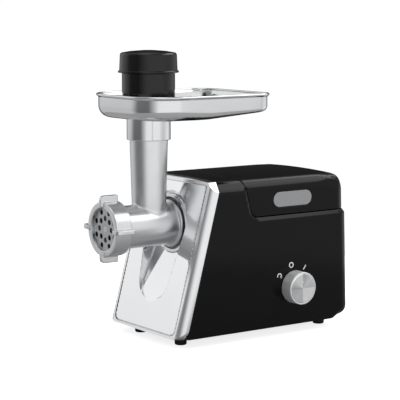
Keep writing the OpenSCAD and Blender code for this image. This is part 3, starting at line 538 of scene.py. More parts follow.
# Kind of finish of each slot, then its colour, range of roughness and what else it sets
FINISHES = {
    "gloss_black": (plastic, (0.003, 0.003, 0.003), (0.12, 0.16), dict(bump=0.01, specular=0.17)),
    "piano_black": (plastic, (0.004, 0.004, 0.004), (0.1, 0.15), dict(bump=0.01, specular=0.4)),
    "matte_black": (plastic, (0.018, 0.018, 0.018), (0.45, 0.6), dict(bump=0.2)),
    "grip_grey": (plastic, (0.33, 0.335, 0.34), (0.38, 0.48), dict(bump=0.12, tint=0.03)),
    "foot_rubber": (plastic, (0.014, 0.014, 0.014), (0.6, 0.8), dict(bump=0.3)),
    "nylon": (plastic, (0.66, 0.62, 0.52), (0.35, 0.5), dict(tint=0.04)),
    "carbon": (plastic, (0.03, 0.03, 0.03), (0.5, 0.7), dict(bump=0.3)),
    "capacitor_yellow": (plastic, (0.55, 0.36, 0.03), (0.2, 0.3), dict(tint=0.04)),
    "white_print": (plastic, (0.9, 0.9, 0.9), (0.4, 0.5), dict(tint=0.02)),
    "board_green": (circuit_board, (0.05, 0.2, 0.08), (0.35, 0.5),
                    dict(gap_colour=(0.015, 0.1, 0.04))),
    "satin_metal": (metal, (0.80, 0.81, 0.82), (0.2, 0.26),
                    dict(grain=(1, 1, 0.03), grain_scale=700, bump=0.015, tint=0.015)),
    "mirror_metal": (metal, (0.86, 0.87, 0.88), (0.04, 0.07), dict(bump=0.002, tint=0.01)),
    "cast_aluminium": (metal, (0.74, 0.75, 0.76), (0.285, 0.34),
                       dict(grain_scale=1500, bump=0.015, tint=0.015)),
    "polished_steel": (metal, (0.74, 0.75, 0.76), (0.11, 0.16),
                       dict(grain=(1, 0.04, 1), grain_scale=800, bump=0.01, tint=0.015)),
    "plate_steel": (metal, (0.50, 0.51, 0.52), (0.29, 0.36), dict(grain_scale=1200, bump=0.03)),
    "knob_metal": (metal, (0.9, 0.91, 0.92), (0.5, 0.58),
                   dict(grain=(0.03, 1, 1), bump=0.04, tint=0.02, metallic=0.6)),
    # The knob's face has painted highlights and painted shade in sectors round its centre
    "spun_aluminium": (spun_and_painted_sheen, (0.93, 0.94, 0.95), (0.2, 0.26), {}),
    "zinc_steel": (metal, (0.56, 0.57, 0.60), (0.25, 0.4), dict(bump=0.08)),
    "die_cast": (metal, (0.36, 0.37, 0.38), (0.45, 0.6), dict(grain_scale=700, bump=0.35)),
    "bronze": (metal, (0.55, 0.36, 0.14), (0.3, 0.45), dict(bump=0.2)),
    "steel_shaft": (metal, (0.62, 0.62, 0.63), (0.17, 0.26), dict(grain=(1, 0.05, 1))),
    "brass": (metal, (0.68, 0.50, 0.20), (0.2, 0.35), dict(bump=0.08)),
    "laminated_steel": (banded, (0.3, 0.3, 0.31), (0.4, 0.55),
                        dict(direction="Y", scale=320, dark=(0.12, 0.12, 0.13),
                             light=(0.34, 0.34, 0.35))),
    "enamelled_copper": (banded, (0.5, 0.2, 0.07), (0.2, 0.3),
                         dict(direction="Z", scale=300, dark=(0.28, 0.08, 0.02),
                              light=(0.62, 0.27, 0.1))),
}
made_finishes = {}


def finish(slot):
    """The material of a slot, made once."""
    if slot not in made_finishes:
        kind, colour, rough, others = FINISHES[slot]
        made_finishes[slot] = kind(slot, colour, rough, **others).material
    return made_finishes[slot]


# ------------------------ housing


def cover_side(y, z, gap=0.0):
    """Distance into the space of the storage cover, seen from the side, positive inside."""
    corner_r = 7.0
    above = z - COVER_Z - gap
    behind = (y - cover_front_y(z)) * math.cos(LEAN) - gap
    return -meet(-above, -behind, corner_r)


def rear_side(y, z):
    """Distance past the drafted rear wall, negative in front of it."""
    return (y - rear_y(z)) * math.cos(DRAFT)


def ramp_up(value, start, length):
    """Smooth step from 0 to 1 over a length."""
    t = np.clip((value - start) / length, 0, 1)
    return t * t * (3 - 2 * t)


def underside(x, y, z, depth=0.0):
    """Distances past the walls and below the underside, and the radius between the two.

    The underside lifts a little behind the rear feet and rounds up into the rear wall.
    """
    lift, lift_start, lift_length = 2.2, rear_y(LOW) - 32, 14
    round_start, round_length = rear_y(LOW) - 34, 22
    side = np.abs(x) - HALF_WIDTH + depth
    walls = meet(side, rear_side(y, z) + depth, CORNER_R - depth)
    low_r = LOW_EDGE_R + (REAR_LOW_R - LOW_EDGE_R) * ramp_up(y, round_start, round_length)
    floor = LOW + lift * ramp_up(y, lift_start, lift_length)
    return walls, floor - z + depth, np.maximum(low_r - depth, 0.1)


def under_field(x, y, z, depth=0.0):
    """Distance past the walls or below the underside."""
    return meet(*underside(x, y, z, depth))


def slice_mesh(bm, point, normal):
    """Splits a bmesh's faces along a plane through a point of the grinder's own layout."""
    bmesh.ops.bisect_plane(
        bm, geom=bm.verts[:] + bm.edges[:] + bm.faces[:],
        plane_co=(Vector(point) + Vector(ORIGIN)) * MM, plane_no=normal)


def follow_underside(bm):
    """Bends the base plate up with the underside, and ends it at the housing's rear lip."""
    lip, gap = rear_y(LOW) - REAR_LOW_R, 0.3
    for y in np.linspace(lip - 22, lip - 1, 10):
        slice_mesh(bm, (0, y, 0), (0, 1, 0))
    for from_side in (4, 6, 8, 12):
        slice_mesh(bm, (HALF_WIDTH - from_side, 0, 0), (1, 0, 0))
        slice_mesh(bm, (from_side - HALF_WIDTH, 0, 0), (1, 0, 0))
    for vert in bm.verts:
        x, y, _ = np.array(vert.co) / MM - ORIGIN
        y = min(y, lip - gap)
        walls, below, r = underside(x, y, LOW)
        rounding = r - math.sqrt(max(r * r - max(r + walls, 0) ** 2, 0))
        vert.co.y = (y + ORIGIN[1]) * MM
        vert.co.z += (below + rounding) * MM


def body_field(x, y, z, inset, depth=0.0):
    """Outer form of the housing, drawn in by inset at the sides and by depth all round."""
    soft_start, soft_length = rear_y(z) - 45, 30
    side = np.abs(x) - HALF_WIDTH + depth
    rear = rear_side(y, z) + depth
    top = z - TOP + x * x / (2 * CROWN_R) + depth
    full = meet(side, rear, CORNER_R - depth)
    walls = meet(side + inset, rear + inset, CORNER_R - depth)
    sloping = (full + top + EDGE_CUT - 2 * depth) * math.sqrt(0.5) + depth
    soft = SIDE_SOFT + (REAR_SOFT - SIDE_SOFT) * ramp_up(y, soft_start, soft_length)
    soft = np.maximum(soft - depth, 0.5)
    return meet(meet(walls, top, soft), sloping, soft)


def cable_entry(x, y, z):
    """Space of the cord gland's neck in the rear wall."""
    neck_r, inner_end = 7.1, 290
    gland_x, _, gland_z = sum(limits("cord_gland")) / 2
    return np.maximum(rod(x - gland_x, z, neck_r, gland_z), inner_end - y)


def shell_field(x, y, z):
    """The moulded housing, open at the front and underneath."""
    well_half, well_y, well_depth = 60.5, (174.5, 301.5), 10
    bush_r, edge_r = 4.9, 0.4
    into_cover = cover_side(y, z)
    inset = COVER_INSET * np.clip(1 + into_cover / BAND, 0, 1)
    front = (panel_y(z) + BEZEL_DEPTH - y) * math.cos(LEAN)
    outer = meet(body_field(x, y, z, inset), front, 0.5)
    outer = np.maximum(outer, under_field(x, y, z))
    hollow = body_field(x, y, z, inset, WALL)
    lip_end = rear_y(LOW) - REAR_LOW_R
    hollow = np.maximum(hollow, np.minimum(under_field(x, y, z, WALL), y - lip_end))
    wall_before_cover = np.abs((y - cover_front_y(z)) * math.cos(LEAN)) - WALL
    deck = np.maximum(np.abs(z - COVER_Z + WALL / 2) - WALL / 2, cover_front_y(COVER_Z) - WALL - y)
    ribs = np.minimum(wall_before_cover, deck)
    ribs = np.maximum(ribs, COVER_Z - WALL - z)
    solid = np.maximum(outer, np.minimum(-hollow, ribs))
    solid = meet(solid, into_cover, 0.25)
    well = np.maximum(slab(x, -well_half, well_half), slab(y, *well_y))
    well = np.maximum(well, slab(z, COVER_Z - well_depth, COVER_Z + well_depth))
    solid = np.maximum(solid, -well)
    bush = np.maximum(np.hypot(y - KNOB_Y, z - KNOB_Z) - bush_r, -x)
    return cut(cut(solid, bush, edge_r), cable_entry(x, y, z), edge_r)


def pill(y, z, grow=0.0):
    """Outline of the grey inlay on the cover's sides."""
    low, high = limits("grip_plate_right")
    r = (high[2] - low[2]) / 2
    half = (high[1] - low[1]) / 2 - r
    off = np.maximum(np.abs(y - (low[1] + high[1]) / 2) - half, 0)
    return np.hypot(off, z - (low[2] + high[2]) / 2) - r - grow


def cover_field(x, y, z):
    """The hollow storage cover with its pockets for the inlays."""
    skin, seam_gap, pocket_depth, pocket_gap = 2.5, 0.25, 1.6, 0.15
    into = cover_side(y, z, seam_gap)
    outer = meet(body_field(x, y, z, COVER_INSET), -into, 0.3)
    hollow = meet(body_field(x, y, z, COVER_INSET, skin), skin - into, 1.0)
    low_hollow = np.maximum(hollow, -(into - skin))
    open_below = np.maximum(body_field(x, y, z, COVER_INSET, skin),
                            -((y - cover_front_y(z)) * math.cos(LEAN) - skin))
    solid = np.maximum(outer, -np.minimum(low_hollow, open_below))
    pocket_floor = HALF_WIDTH - COVER_INSET - pocket_depth
    pocket = np.maximum(pill(y, z, pocket_gap), pocket_floor - np.abs(x))
    return cut(solid, pocket, 0.25)


def capsule(x, u, low_u, high_u, low_r, high_r):
    """Distance to the outline round two circles on the mid-plane."""
    x = np.abs(x)
    height = high_u - low_u
    sine = (low_r - high_r) / height
    cosine = math.sqrt(1 - sine * sine)
    v = u - low_u
    along = -sine * x + cosine * v
    low = np.hypot(x, v) - low_r
    high = np.hypot(x, v - height) - high_r
    flat = cosine * x + sine * v - low_r
    return np.where(along < 0, low, np.where(along > cosine * height, high, flat))


# The scoop's foot, the tilt of its floor, its lower circle, the radius at the socket, and its back
SCOOP_FOOT, SCOOP_TILT = 47.0, math.radians(14)
SCOOP_LOW_Z, SCOOP_LOW_R, SCOOP_TOP_R, SOCKET_Y = 76, 30.0, 40.0, 99.4


def panel_field(x, y, z):
    """Bright front plate with the pressed scoop under the socket."""
    skin, side_margin, foot, head, foot_r, head_r = 2.4, 13.1, 16.6, 195.1, 8.0, 2.0
    socket_r, button_r, hole_edge = 35.5, 8.3, 0.4
    behind = (y - panel_y(z)) * math.cos(LEAN)
    up = (y - PANEL_FOOT) * math.sin(LEAN) + z * math.cos(LEAN)
    half = HALF_WIDTH - side_margin
    plate = meet(meet(np.abs(x) - half, foot - up, foot_r), up - head, head_r)
    sheet = np.maximum(slab(behind, 0.4, skin), plate)
    outline = capsule(x, up, SCOOP_LOW_Z / math.cos(LEAN), AXIS_Z / math.cos(LEAN),
                      SCOOP_LOW_R, SCOOP_TOP_R)
    floor = (behind * math.cos(SCOOP_TILT)
             - (up - SCOOP_FOOT / math.cos(LEAN)) * math.sin(SCOOP_TILT))
    air = meet(meet(outline, floor, 2.2), y - SOCKET_Y, 1.5)
    back = np.maximum(np.maximum(outline, floor), y - SOCKET_Y) - skin
    back = np.maximum(back, 0.4 - behind)
    solid = cut(np.minimum(sheet, back), air, 0.9)
    button_x, _, button_z = sum(limits("release_button")) / 2
    solid = cut(solid, rod(x, z, socket_r), hole_edge)
    return cut(solid, rod(x - button_x, z, button_r, button_z), hole_edge)


def build_housing():
    """The housing's own forms, and softened copies of its plainer CAD nodes."""
    low, high = [-HALF_WIDTH, bezel_low[1], LOW], [HALF_WIDTH, shell_high[1], TOP]
    refine("main_shell", field_mesh("main_shell", shell_field, low, high, 2.0))
    refine("storage_cover", field_mesh("storage_cover", cover_field, cover_low, cover_high, 1.5))
    panel_box = limits("front_panel")
    refine("front_panel", field_mesh("front_panel", panel_field, *panel_box, 1.3))
    for node, width in (("front_bezel", 0.6), ("socket_ring", 0.6), ("release_button", 0.3),
                        ("cord_gland", 0.3), ("storage_tray", 0.6),
                        ("grip_plate_right", 0.3), ("grip_plate_left", 0.3),
                        ("foot_front_right", 0.4), ("foot_front_left", 0.4),
                        ("foot_rear_right", 0.4), ("foot_rear_left", 0.4)):
        softened(node, width)
    softened("base_plate", 0.4, reshape=follow_underside)


# ------------------------ grinding head

# Outer radii of the casting, and where each of its parts lies along the barrel
TUBE_LOW_R, TUBE_TOP_R, BARREL_R, FLANGE_R, SPIGOT_R = 20.6, 22.5, 25.3, 28.5, 26.0
BARREL_Y, FLANGE_Y, SPIGOT_Y, THREAD_Y = (19, 97), (91.5, 98), (97, 103.5), (6.2, 20)
THREAD_R, THREAD_DEPTH, THREAD_PITCH = 29.6, 0.25, 3.5
TAPER_FOOT, TAPER_LENGTH = 174, 66

# Half width, reach and turns of the bayonet lugs
LUG_HALF, LUG_OUT, LUG_Y, LUG_TURNS = 5, (20, 30.5), (99.5, 103.5), (30, 150, 270)

# Radius and inner end of the bore, of the knife's chamber and of the plate's seat
BORE, CHAMBER, PLATE_SEAT = (21.8, 88.4), (25.5, 15.4), (27.1, plate_high[1])
SHAFT_HOLE_R, SPIGOT_HOLE_R, SPIGOT_HOLE_START = 12, 21, 96
FEED_BORE_R = 18.0


def turned(x, z, a):
    """Distances across and along an arm that stands out from the barrel's axis at an angle."""
    up = z - AXIS_Z
    return x * math.cos(a) - up * math.sin(a), x * math.sin(a) + up * math.cos(a)


def head_field(x, y, z):
    """One casting: barrel, rear flange, bayonet spigot and feed tube."""
    around = np.hypot(x, z - AXIS_Z)
    barrel = meet(around - BARREL_R, slab(y, *BARREL_Y), 0.8)
    flange = meet(around - FLANGE_R, slab(y, *FLANGE_Y), 2.2)
    spigot = np.maximum(around - SPIGOT_R, slab(y, *SPIGOT_Y))
    ridges = THREAD_DEPTH * np.cos(2 * math.pi * y / THREAD_PITCH)
    thread = np.maximum(around - THREAD_R + ridges, slab(y, *THREAD_Y))
    up = np.clip((z - TAPER_FOOT) / TAPER_LENGTH, -0.5, 1)
    off_axis = np.hypot(x, y - FEED_Y)
    tube_r = TUBE_LOW_R + (TUBE_TOP_R - TUBE_LOW_R) * up
    tube = np.maximum(off_axis - tube_r, slab(z, AXIS_Z, head_high[2]))
    solid = join(barrel, tube, 2.2)
    solid = join(solid, flange, 1.5)
    solid = np.minimum(np.minimum(solid, spigot), thread)
    for turn in LUG_TURNS:
        across, out = turned(x, z, math.radians(turn))
        lug = np.maximum(slab(out, *LUG_OUT), slab(y, *LUG_Y))
        solid = np.minimum(solid, np.maximum(np.abs(across) - LUG_HALF, lug))
    hollow = np.maximum(off_axis - FEED_BORE_R, AXIS_Z - z)
    for r, end in (BORE, CHAMBER, PLATE_SEAT):
        hollow = np.minimum(hollow, np.maximum(around - r, y - end))
    hollow = np.minimum(hollow, around - SHAFT_HOLE_R)
    hollow = np.minimum(hollow, np.maximum(around - SPIGOT_HOLE_R, SPIGOT_HOLE_START - y))
    return cut(solid, hollow, 0.7)


def nut_field(x, y, z):
    """Ring nut with four cast lugs that run over its face and back along its side."""
    nut_r, mouth_r, lug_half, thread_r, thread_start = 32.0, 25.0, 2.7, 30.05, 4.0
    length = nut_high[1]
    lug_r = nut_high[2] - AXIS_Z
    around = np.hypot(x, z - AXIS_Z)
    solid = meet(around - nut_r, slab(y, 0, length), 1.3)
    for a in (0, math.pi / 2, math.pi, 3 * math.pi / 2):
        across, out = turned(x, z, a)
        corner = ((out - lug_r) + (nut_low[1] - y)) * math.sqrt(0.5) + 2.0
        edge = meet(slab(out, mouth_r + 1.2, lug_r), slab(y, nut_low[1], length - 1), 1.2)
        lug = meet(meet(edge, corner, 2.0), np.abs(across) - lug_half, 1.1)
        solid = join(solid, lug, 0.9)
    thread = np.maximum(around - thread_r, thread_start - y)
    solid = cut(solid, around - mouth_r, 0.8)
    return np.maximum(solid, -thread)


def auger_field(x, y, z):
    """Feed screw whose flight winds about the core."""
    low, high = limits("auger")
    turns, core_r, crest_r, half_angle = 2.5, 8.0, 21.3, 0.16
    around = np.hypot(x, z - AXIS_Z)
    phase = np.arctan2(z - AXIS_Z, x) - 2 * math.pi * turns * (y - low[1]) / (high[1] - low[1])
    phase = np.abs((phase + math.pi) % (2 * math.pi) - math.pi)
    flight = np.maximum((phase - half_angle) * np.minimum(around, 12) * 0.7, around - crest_r + 0.4)
    return meet(join(around - core_r, flight, 2.0), slab(y, low[1], high[1]), 0.5)


def build_head():
    """The head's own forms, and softened copies of its plainer CAD nodes."""
    refine("head_casting", field_mesh("head_casting", head_field, head_low, head_high, 1.1))
    refine("ring_nut", field_mesh("ring_nut", nut_field, nut_low, nut_high, 0.8))
    refine("auger", field_mesh("auger", auger_field, *limits("auger"), 1.2))
    for node, width in (("grinding_plate", 0.35), ("cutting_blade", 0.3), ("blade_stud", 0.3),
                        ("drive_hub", 0.4)):
        softened(node, width)


# ------------------------ tray and pusher

# Corner radii of the rim, and the bend between wall and floor with where it changes
FRONT_RIM_R, REAR_RIM_R = 45.0, 25.0
FRONT_BEND_R, REAR_BEND_R, BEND_CHANGE_START, BEND_CHANGE_LENGTH = 14.0, 6.0, 60, 110


def tray_outline(inset):
    """Points round the tray's outline drawn in by inset, with their outward directions."""
    per_corner, per_side = 18, 8
    half = tray_high[0] - inset
    y0, y1 = tray_low[1] + inset, tray_high[1] - inset
    front_r, rear_r = FRONT_RIM_R - inset, REAR_RIM_R - inset
    corners = [(half - rear_r, y1 - rear_r, rear_r), (rear_r - half, y1 - rear_r, rear_r),
               (front_r - half, y0 + front_r, front_r), (half - front_r, y0 + front_r, front_r)]
    points = []
    for quarter, (cx, cy, r) in enumerate(corners):
        for i in range(per_corner + 1):
            a = math.pi / 2 * (quarter + i / per_corner)
            out = np.array([math.cos(a), math.sin(a)])
            points.append((np.array([cx, cy]) + r * out, out))
        next_x, next_y, next_r = corners[(quarter + 1) % 4]
        start = points[-1][0]
        end = np.array([next_x, next_y]) + next_r * out
        for i in range(1, per_side):
            points.append((start + (end - start) * i / per_side, out))
    return points


def tray_floor(y):
    """Height of the underside of the tray's floor, which rises towards the rear."""
    slope_start, rise = 102.0, 7.2
    t = min(max((y - slope_start) / (tray_high[1] - 8 - slope_start), 0), 1)
    return collar_high[2] + rise * t


def tray_bend(y):
    """Radius of the bend between wall and floor, wide in front and tight at the rear."""
    t = min(max((y - BEND_CHANGE_START) / BEND_CHANGE_LENGTH, 0), 1)
    return FRONT_BEND_R + (REAR_BEND_R - FRONT_BEND_R) * t


def level_ring(inset, height):
    """Ring round the tray at one height."""
    return [(*point, height) for point, _ in tray_outline(inset)]


def bend_ring(inset, lift, angle):
    """Ring along the bend, at an angle from its foot on the floor to the wall."""
    ring = []
    for point, out in tray_outline(inset):
        r = tray_bend(point[1]) - lift
        x, y = point - out * r * (1 - math.sin(angle))
        ring.append((x, y, tray_floor(y) + lift + r * (1 - math.cos(angle))))
    return ring


def floor_ring(edge, lift, share):
    """Ring on the floor, at a share of the way from the feed opening to the bend's foot."""
    hole_r = FEED_BORE_R + 0.4
    ring = []
    for x, y, _ in edge:
        away = math.hypot(x, y - FEED_Y)
        px = x / away * hole_r * (1 - share) + x * share
        py = (FEED_Y + (y - FEED_Y) / away * hole_r) * (1 - share) + y * share
        ring.append((px, py, tray_floor(py) + lift))
    return ring


def tray_mesh():
    """Deep tray with a rolled rim, a rounded bend into its floor and a round feed opening."""
    wall, sheet, lip_r, roll_depth = 2.6, 1.6, 1.5, 4.4
    rim = tray_high[2]
    steps = [math.pi / 2 * i / 10 for i in range(11)]
    shares = [0, 0.02, 0.12, 0.3, 0.5, 0.7, 0.85, 0.95]
    outside = bend_ring(wall, 0, 0)
    inside = bend_ring(wall + sheet, sheet, 0)
    rings = [floor_ring(outside, 0, share) for share in shares]
    rings += [bend_ring(wall, 0, a) for a in steps]
    rings.append(level_ring(wall, rim - roll_depth))
    for a in [math.radians(d) for d in range(-60, 211, 30)]:
        rings.append(level_ring(lip_r - lip_r * math.cos(a), rim - lip_r + lip_r * math.sin(a)))
    rings.append(level_ring(wall + sheet, rim - roll_depth))
    rings += [bend_ring(wall + sheet, sheet, a) for a in reversed(steps)]
    rings += [floor_ring(inside, sheet, share) for share in reversed(shares)]
    return loft("feed_tray", rings, sharp=40)


def collar_mesh():
    """Rolled collar under the tray, with its seam."""
    seam, seam_half, seam_depth = math.radians(-23.5), math.radians(1.2), 0.6
    r_out = (collar_high[0] - collar_low[0]) / 2
    r_in = r_out - 3.0

    def seam_groove(a, r):
        off = abs((a - seam + math.pi) % (2 * math.pi) - math.pi)
        on_outside = r > (r_in + r_out) / 2
        return -seam_depth if on_outside and off < seam_half else 0.0

    corners = [(r_in, 0, 0.5), (r_out, 0, 0.8), (r_out, collar_high[2] - collar_low[2], 0),
               (r_in, collar_high[2] - collar_low[2], 0)]
    return lathe("tray_collar", corners, (0, FEED_Y, collar_low[2]), (0, 0, 1), 360,
                 radius_at=seam_groove)


def pusher_mesh():
    """Hollow pusher: a plain stem, a wider cup that rests on the tray, and a neck for the cap."""
    stem_r, skin = 17.5, 2.5
    cup_r = pusher_high[0]
    neck_r, mouth_r = cup_r - 1.9, cup_r - 4.1
    low, floor = pusher_low[2], collar_high[2] + 2.1
    shoulder, top = cap_low[2] - 0.3, pusher_high[2]
    corners = [
        (0, low, 0), (stem_r, low, 2.0), (stem_r, floor, 0.8),
        (cup_r, floor, 1.2), (cup_r, shoulder, 0.6), (neck_r, shoulder, 0.4), (neck_r, top, 0.6),
        (mouth_r, top, 0.6), (mouth_r, floor + skin, 2.0), (stem_r - skin, floor + skin, 1.0),
        (stem_r - skin, low + skin, 2.0), (0, low + skin, 0),
    ]
    return lathe("pusher", corners, (0, FEED_Y, 0), (0, 0, 1))


def cap_mesh():
    """Cap with a thin flange ring at its foot, slightly drawn in above, and a low domed top."""
    ring_r = cap_high[0]
    low, top = cap_low[2], cap_high[2]
    in_r = ring_r - 6.0
    corners = [
        (in_r, low, 0.3), (ring_r, low, 0.8), (ring_r, low + 2.2, 0.8),
        (ring_r - 1.5, low + 2.5, 0.4), (ring_r - 2.4, top - 3.2, 3.2), (ring_r - 14, top - 1.2, 9.0),
        (8, top - 0.1, 14.0), (0, top, 0), (0, top - 3, 0), (in_r, top - 5, 2.0),
    ]
    return lathe("pusher_cap", corners, (0, FEED_Y, 0), (0, 0, 1))


def build_tray():
    """Tray, collar, pusher and cap."""
    refine("feed_tray", tray_mesh())
    refine("tray_collar", collar_mesh())
    refine("pusher", pusher_mesh())
    refine("pusher_cap", cap_mesh())


# ------------------------ controls


def knob_mesh():
    """Knob with a straight side, a rounded front edge and a recess for its disc."""
    shaft_r, recess_r, recess_depth, disc_seat, taper = 3.05, 12, 3, 1, 0.25
    r = (knob_high[1] - knob_low[1]) / 2
    base, out = 0.5, knob_high[0] - HALF_WIDTH
    disc_r = (disc_high[1] - disc_low[1]) / 2 + 0.1
    corners = [
        (shaft_r, base + recess_depth, 0), (recess_r, base + recess_depth, 0),
        (recess_r, base, 0.2), (r, base, 0.6), (r - taper, out, 0.8),
        (disc_r, out, 0.2), (disc_r, out - disc_seat, 0), (shaft_r, out - disc_seat, 0),
    ]
    return lathe("control_knob", corners, (HALF_WIDTH, KNOB_Y, KNOB_Z), (1, 0, 0))


def disc_mesh():
    """Face of the knob, very slightly dished, with its pointer groove."""
    dish, edge_drop, groove_depth, groove_half = 0.35, 0.25, 0.35, 0.8
    r = (disc_high[1] - disc_low[1]) / 2
    thick = disc_high[0] - disc_low[0]
    bm = bmesh.new()
    rings = 24
    count = 128
    rows = []
    for i in range(rings + 1):
        reach = r * i / rings
        lift = thick - dish * (1 - (reach / r) ** 2) if i < rings else thick - edge_drop
        row = []
        for k in range(count):
            a = 2 * math.pi * k / count
            y, z = reach * math.cos(a), reach * math.sin(a)
            groove = groove_depth if abs(y) < groove_half and 0.45 * r < z < 0.9 * r else 0
            row.append(bm.verts.new((disc_low[0] + lift - groove, KNOB_Y + y, KNOB_Z + z)))
        rows.append(row)
    rows.append([bm.verts.new((disc_low[0], v.co.y, v.co.z)) for v in rows[-1]])
    for low, high in zip(rows, rows[1:]):
        bridge(bm, low, high)
    bm.faces.new(rows[-1])
    return bm_mesh("knob_disc", bm, 30)


def mark_strip(bm, points, width):
    """Raised line of even width along points on the housing's side, as (y, z)."""
    low, high = HALF_WIDTH - 0.4, HALF_WIDTH + 0.12
    path = [np.array(p) for p in points]
    edges = []
    for i, here in enumerate(path):
        ahead = path[min(i + 1, len(path) - 1)] - path[max(i - 1, 0)]
        normal = np.array([-ahead[1], ahead[0]]) / np.linalg.norm(ahead) * width / 2
        edges.append((here + normal, here - normal))
    rows = []
    for left, right in edges:
        rows.append([bm.verts.new((x, *p)) for x, p in
                     ((high, left), (high, right), (low, right), (low, left))])
    for first, second in zip(rows, rows[1:]):
        bridge(bm, first, second)
    bm.faces.new(rows[0])
    bm.faces.new(rows[-1])


def arc(centre, r, start, end):
    """Points along an arc, from a start to an end angle in degrees."""
    count = 24
    angles = [math.radians(start + (end - start) * i / count) for i in range(count + 1)]
    return [(centre[0] + r * math.cos(a), centre[1] + r * math.sin(a)) for a in angles]


def build_marks():
    """Three plain symbols round the knob: turn back, off and on."""
    reach, width, r, half_bar = 27.0, 1.3, 2.9, 3.2
    turns = [math.radians(turn) for turn in (-57, -10, 36)]
    directions = [np.array([math.sin(a), math.cos(a)]) for a in turns]
    back, off, on = [np.array([KNOB_Y, KNOB_Z]) + reach * d for d in directions]
    bm = bmesh.new()
    turn_back = arc(back, r, -60, 200)
    tip = np.array(turn_back[0])
    mark_strip(bm, turn_back, width)
    mark_strip(bm, [tip + (2.0, 0.6), tip], width)
    mark_strip(bm, [tip + (0.5, 2.3), tip], width)
    mark_strip(bm, arc(off, r, 0, 360), width)
    mark_strip(bm, [on - half_bar * directions[2], on + half_bar * directions[2]], width)
    mesh = bm_mesh("knob_marks", bm, 30)
    mesh.materials.append(finish("white_print"))
    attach(place("knob_marks", mesh), "housing")


def build_controls():
    """Knob, its disc and the marks round it."""
    refine("control_knob", knob_mesh())
    refine("knob_disc", disc_mesh())
    build_marks()


# ------------------------ what stays as CAD


def finish_cad_nodes():
    """Gives every CAD node that still shows the material of its slot."""
    for node, obj in frame["nodes"].items():
        if obj.hide_render:
            continue
        obj.data.materials.clear()
        obj.data.materials.append(finish(SLOT_OF[node]))


# ------------------------ camera and light

CAMERA_AT, CAMERA_AIM = (1473.2, -901.6, 395.5), (0.8, 138.1, 162.4)
SENSOR_WIDTH, LENS = 36, 135.46


def add_camera():
    """Camera ahead of the housing and to the right, slightly above it, aimed at its middle."""
    camera = place("camera", bpy.data.cameras.new("camera"))
    camera.location = Vector(ORIGIN + CAMERA_AT) * MM
    target = Vector(ORIGIN + CAMERA_AIM) * MM
    camera.rotation_euler = (target - camera.location).to_track_quat("-Z", "Y").to_euler()
    camera.data.sensor_width = SENSOR_WIDTH
    camera.data.lens = LENS
    camera.data.clip_end = 50
    bpy.context.scene.camera = camera


def add_screen(name, turn, rise, distance, size, radiance):
    """Area light of a given radiance, at a turn from the front and a rise over the horizon."""
    middle = Vector((0, 0, 0.15))
    a, b = math.radians(turn), math.radians(rise)
    toward = Vector((math.sin(a) * math.cos(b), -math.cos(a) * math.cos(b), math.sin(b)))
    light = place(name, bpy.data.lights.new(name, "AREA"))
    light.location = middle + toward * distance
    light.rotation_euler = (-toward).to_track_quat("-Z", "Y").to_euler()
    light.data.shape = "RECTANGLE"
    light.data.size, light.data.size_y = size
    light.data.energy = radiance * math.pi * size[0] * size[1]


# Greys of the surroundings by the turn from the front in degrees, positive to the right.
LOW_SCREENS = [(-180, 1.0), (-158, 0.35), (-142, 0.03), (-105, 0.03), (-88, 0.6), (-58, 0.62),
               (-40, 0.35), (-26, 0.16), (14, 0.16), (34, 0.6), (46, 1.0), (114, 1.0),
               (122, 0.85), (140, 0.65), (172, 1.0), (180, 1.0)]
HIGH_SCREENS = [(-180, 0.45), (-150, 0.25), (-142, 0.03), (-108, 0.03), (-88, 0.8), (-70, 0.95),
                (-42, 0.95), (-25, 0.3), (15, 0.2), (40, 0.7), (60, 1.0), (115, 1.0),
                (140, 0.8), (180, 0.45)]


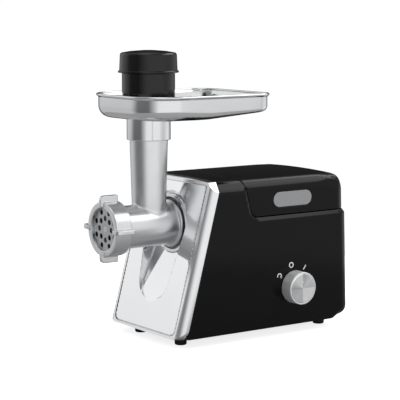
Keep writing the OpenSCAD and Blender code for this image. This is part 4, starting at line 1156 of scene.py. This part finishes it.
def add_world():
    """Studio with bright screens to both sides, and dark gaps in front and far behind."""
    world = bpy.data.worlds.new("studio")
    bpy.context.scene.world = world
    world.use_nodes = True
    g = Nodes(world.node_tree)

    def calc(operation, a, b):
        return g.add("ShaderNodeMath", a, b, operation=operation).outputs["Value"]

    def greys(value, stops):
        return g.ramp(value, [(position, (grey,) * 3) for position, grey in stops])

    def mix(factor, a, b):
        node = g.add("ShaderNodeMix", factor, data_type="RGBA")
        g.feed(node.inputs["A"], a)
        g.feed(node.inputs["B"], b)
        return node.outputs["Result"]

    place_seen = g.add("ShaderNodeTexCoord").outputs["Generated"]
    x, y, z = g.add("ShaderNodeSeparateXYZ", place_seen).outputs
    turn = calc("ARCTAN2", x, calc("MULTIPLY", y, -1.0))
    share = calc("ADD", calc("DIVIDE", turn, 2 * math.pi), 0.5)
    low, high = (greys(share, [((a + 180) / 360, grey) for a, grey in screens])
                 for screens in (LOW_SCREENS, HIGH_SCREENS))
    around = mix(greys(calc("ADD", z, 0.15), [(0.0, 0.0), (0.30, 1.0)]), low, high)
    overhead = greys(z, [(0.35, 0.0), (0.75, 1.0)])
    seen = g.add("ShaderNodeLightPath").outputs["Is Camera Ray"]
    background = world.node_tree.nodes["Background"]
    g.feed(background.inputs["Color"], mix(seen, mix(overhead, around, 0.5), 1.0))
    g.feed(background.inputs["Strength"], 1.02)


def floor_material():
    """Pale floor that is lit evenly for the camera and stays dim in reflections."""
    material = bpy.data.materials.new("pale_floor")
    material.use_nodes = True
    material.node_tree.nodes.clear()
    g = Nodes(material.node_tree)

    def shader(kind, *sources):
        return g.add(kind, *sources).outputs[0]

    diffuse, glow = "ShaderNodeBsdfDiffuse", "ShaderNodeEmission"
    lit = shader("ShaderNodeAddShader", shader(diffuse, 0.9), shader(glow, 0.8))
    seen = g.add("ShaderNodeLightPath").outputs["Is Camera Ray"]
    g.add("ShaderNodeOutputMaterial",
          shader("ShaderNodeMixShader", seen, shader(diffuse, 0.5), lit))
    return material


def add_floor():
    """Round pale floor, which isn't part of the object."""
    reach, sides = 0.6, 96
    bm = bmesh.new()
    bm.faces.new([
        bm.verts.new((reach * math.cos(a), reach * math.sin(a), 0))
        for a in [2 * math.pi * i / sides for i in range(sides)]
    ])
    mesh = bpy.data.meshes.new("floor")
    bm.to_mesh(mesh)
    bm.free()
    mesh.materials.append(floor_material())
    place("floor", mesh)


def light_scene():
    """Surroundings, floor and two soft screens."""
    add_world()
    add_floor()
    add_screen("rear_screen", 165, 46, 1.6, (1.9, 0.7), 2.4)
    add_screen("overhead", 20, 78, 1.8, (1.0, 1.0), 1.5)
    bpy.context.scene.view_settings.view_transform = "Standard"


add_camera()
build_housing()
build_head()
build_tray()
build_controls()
finish_cad_nodes()
light_scene()
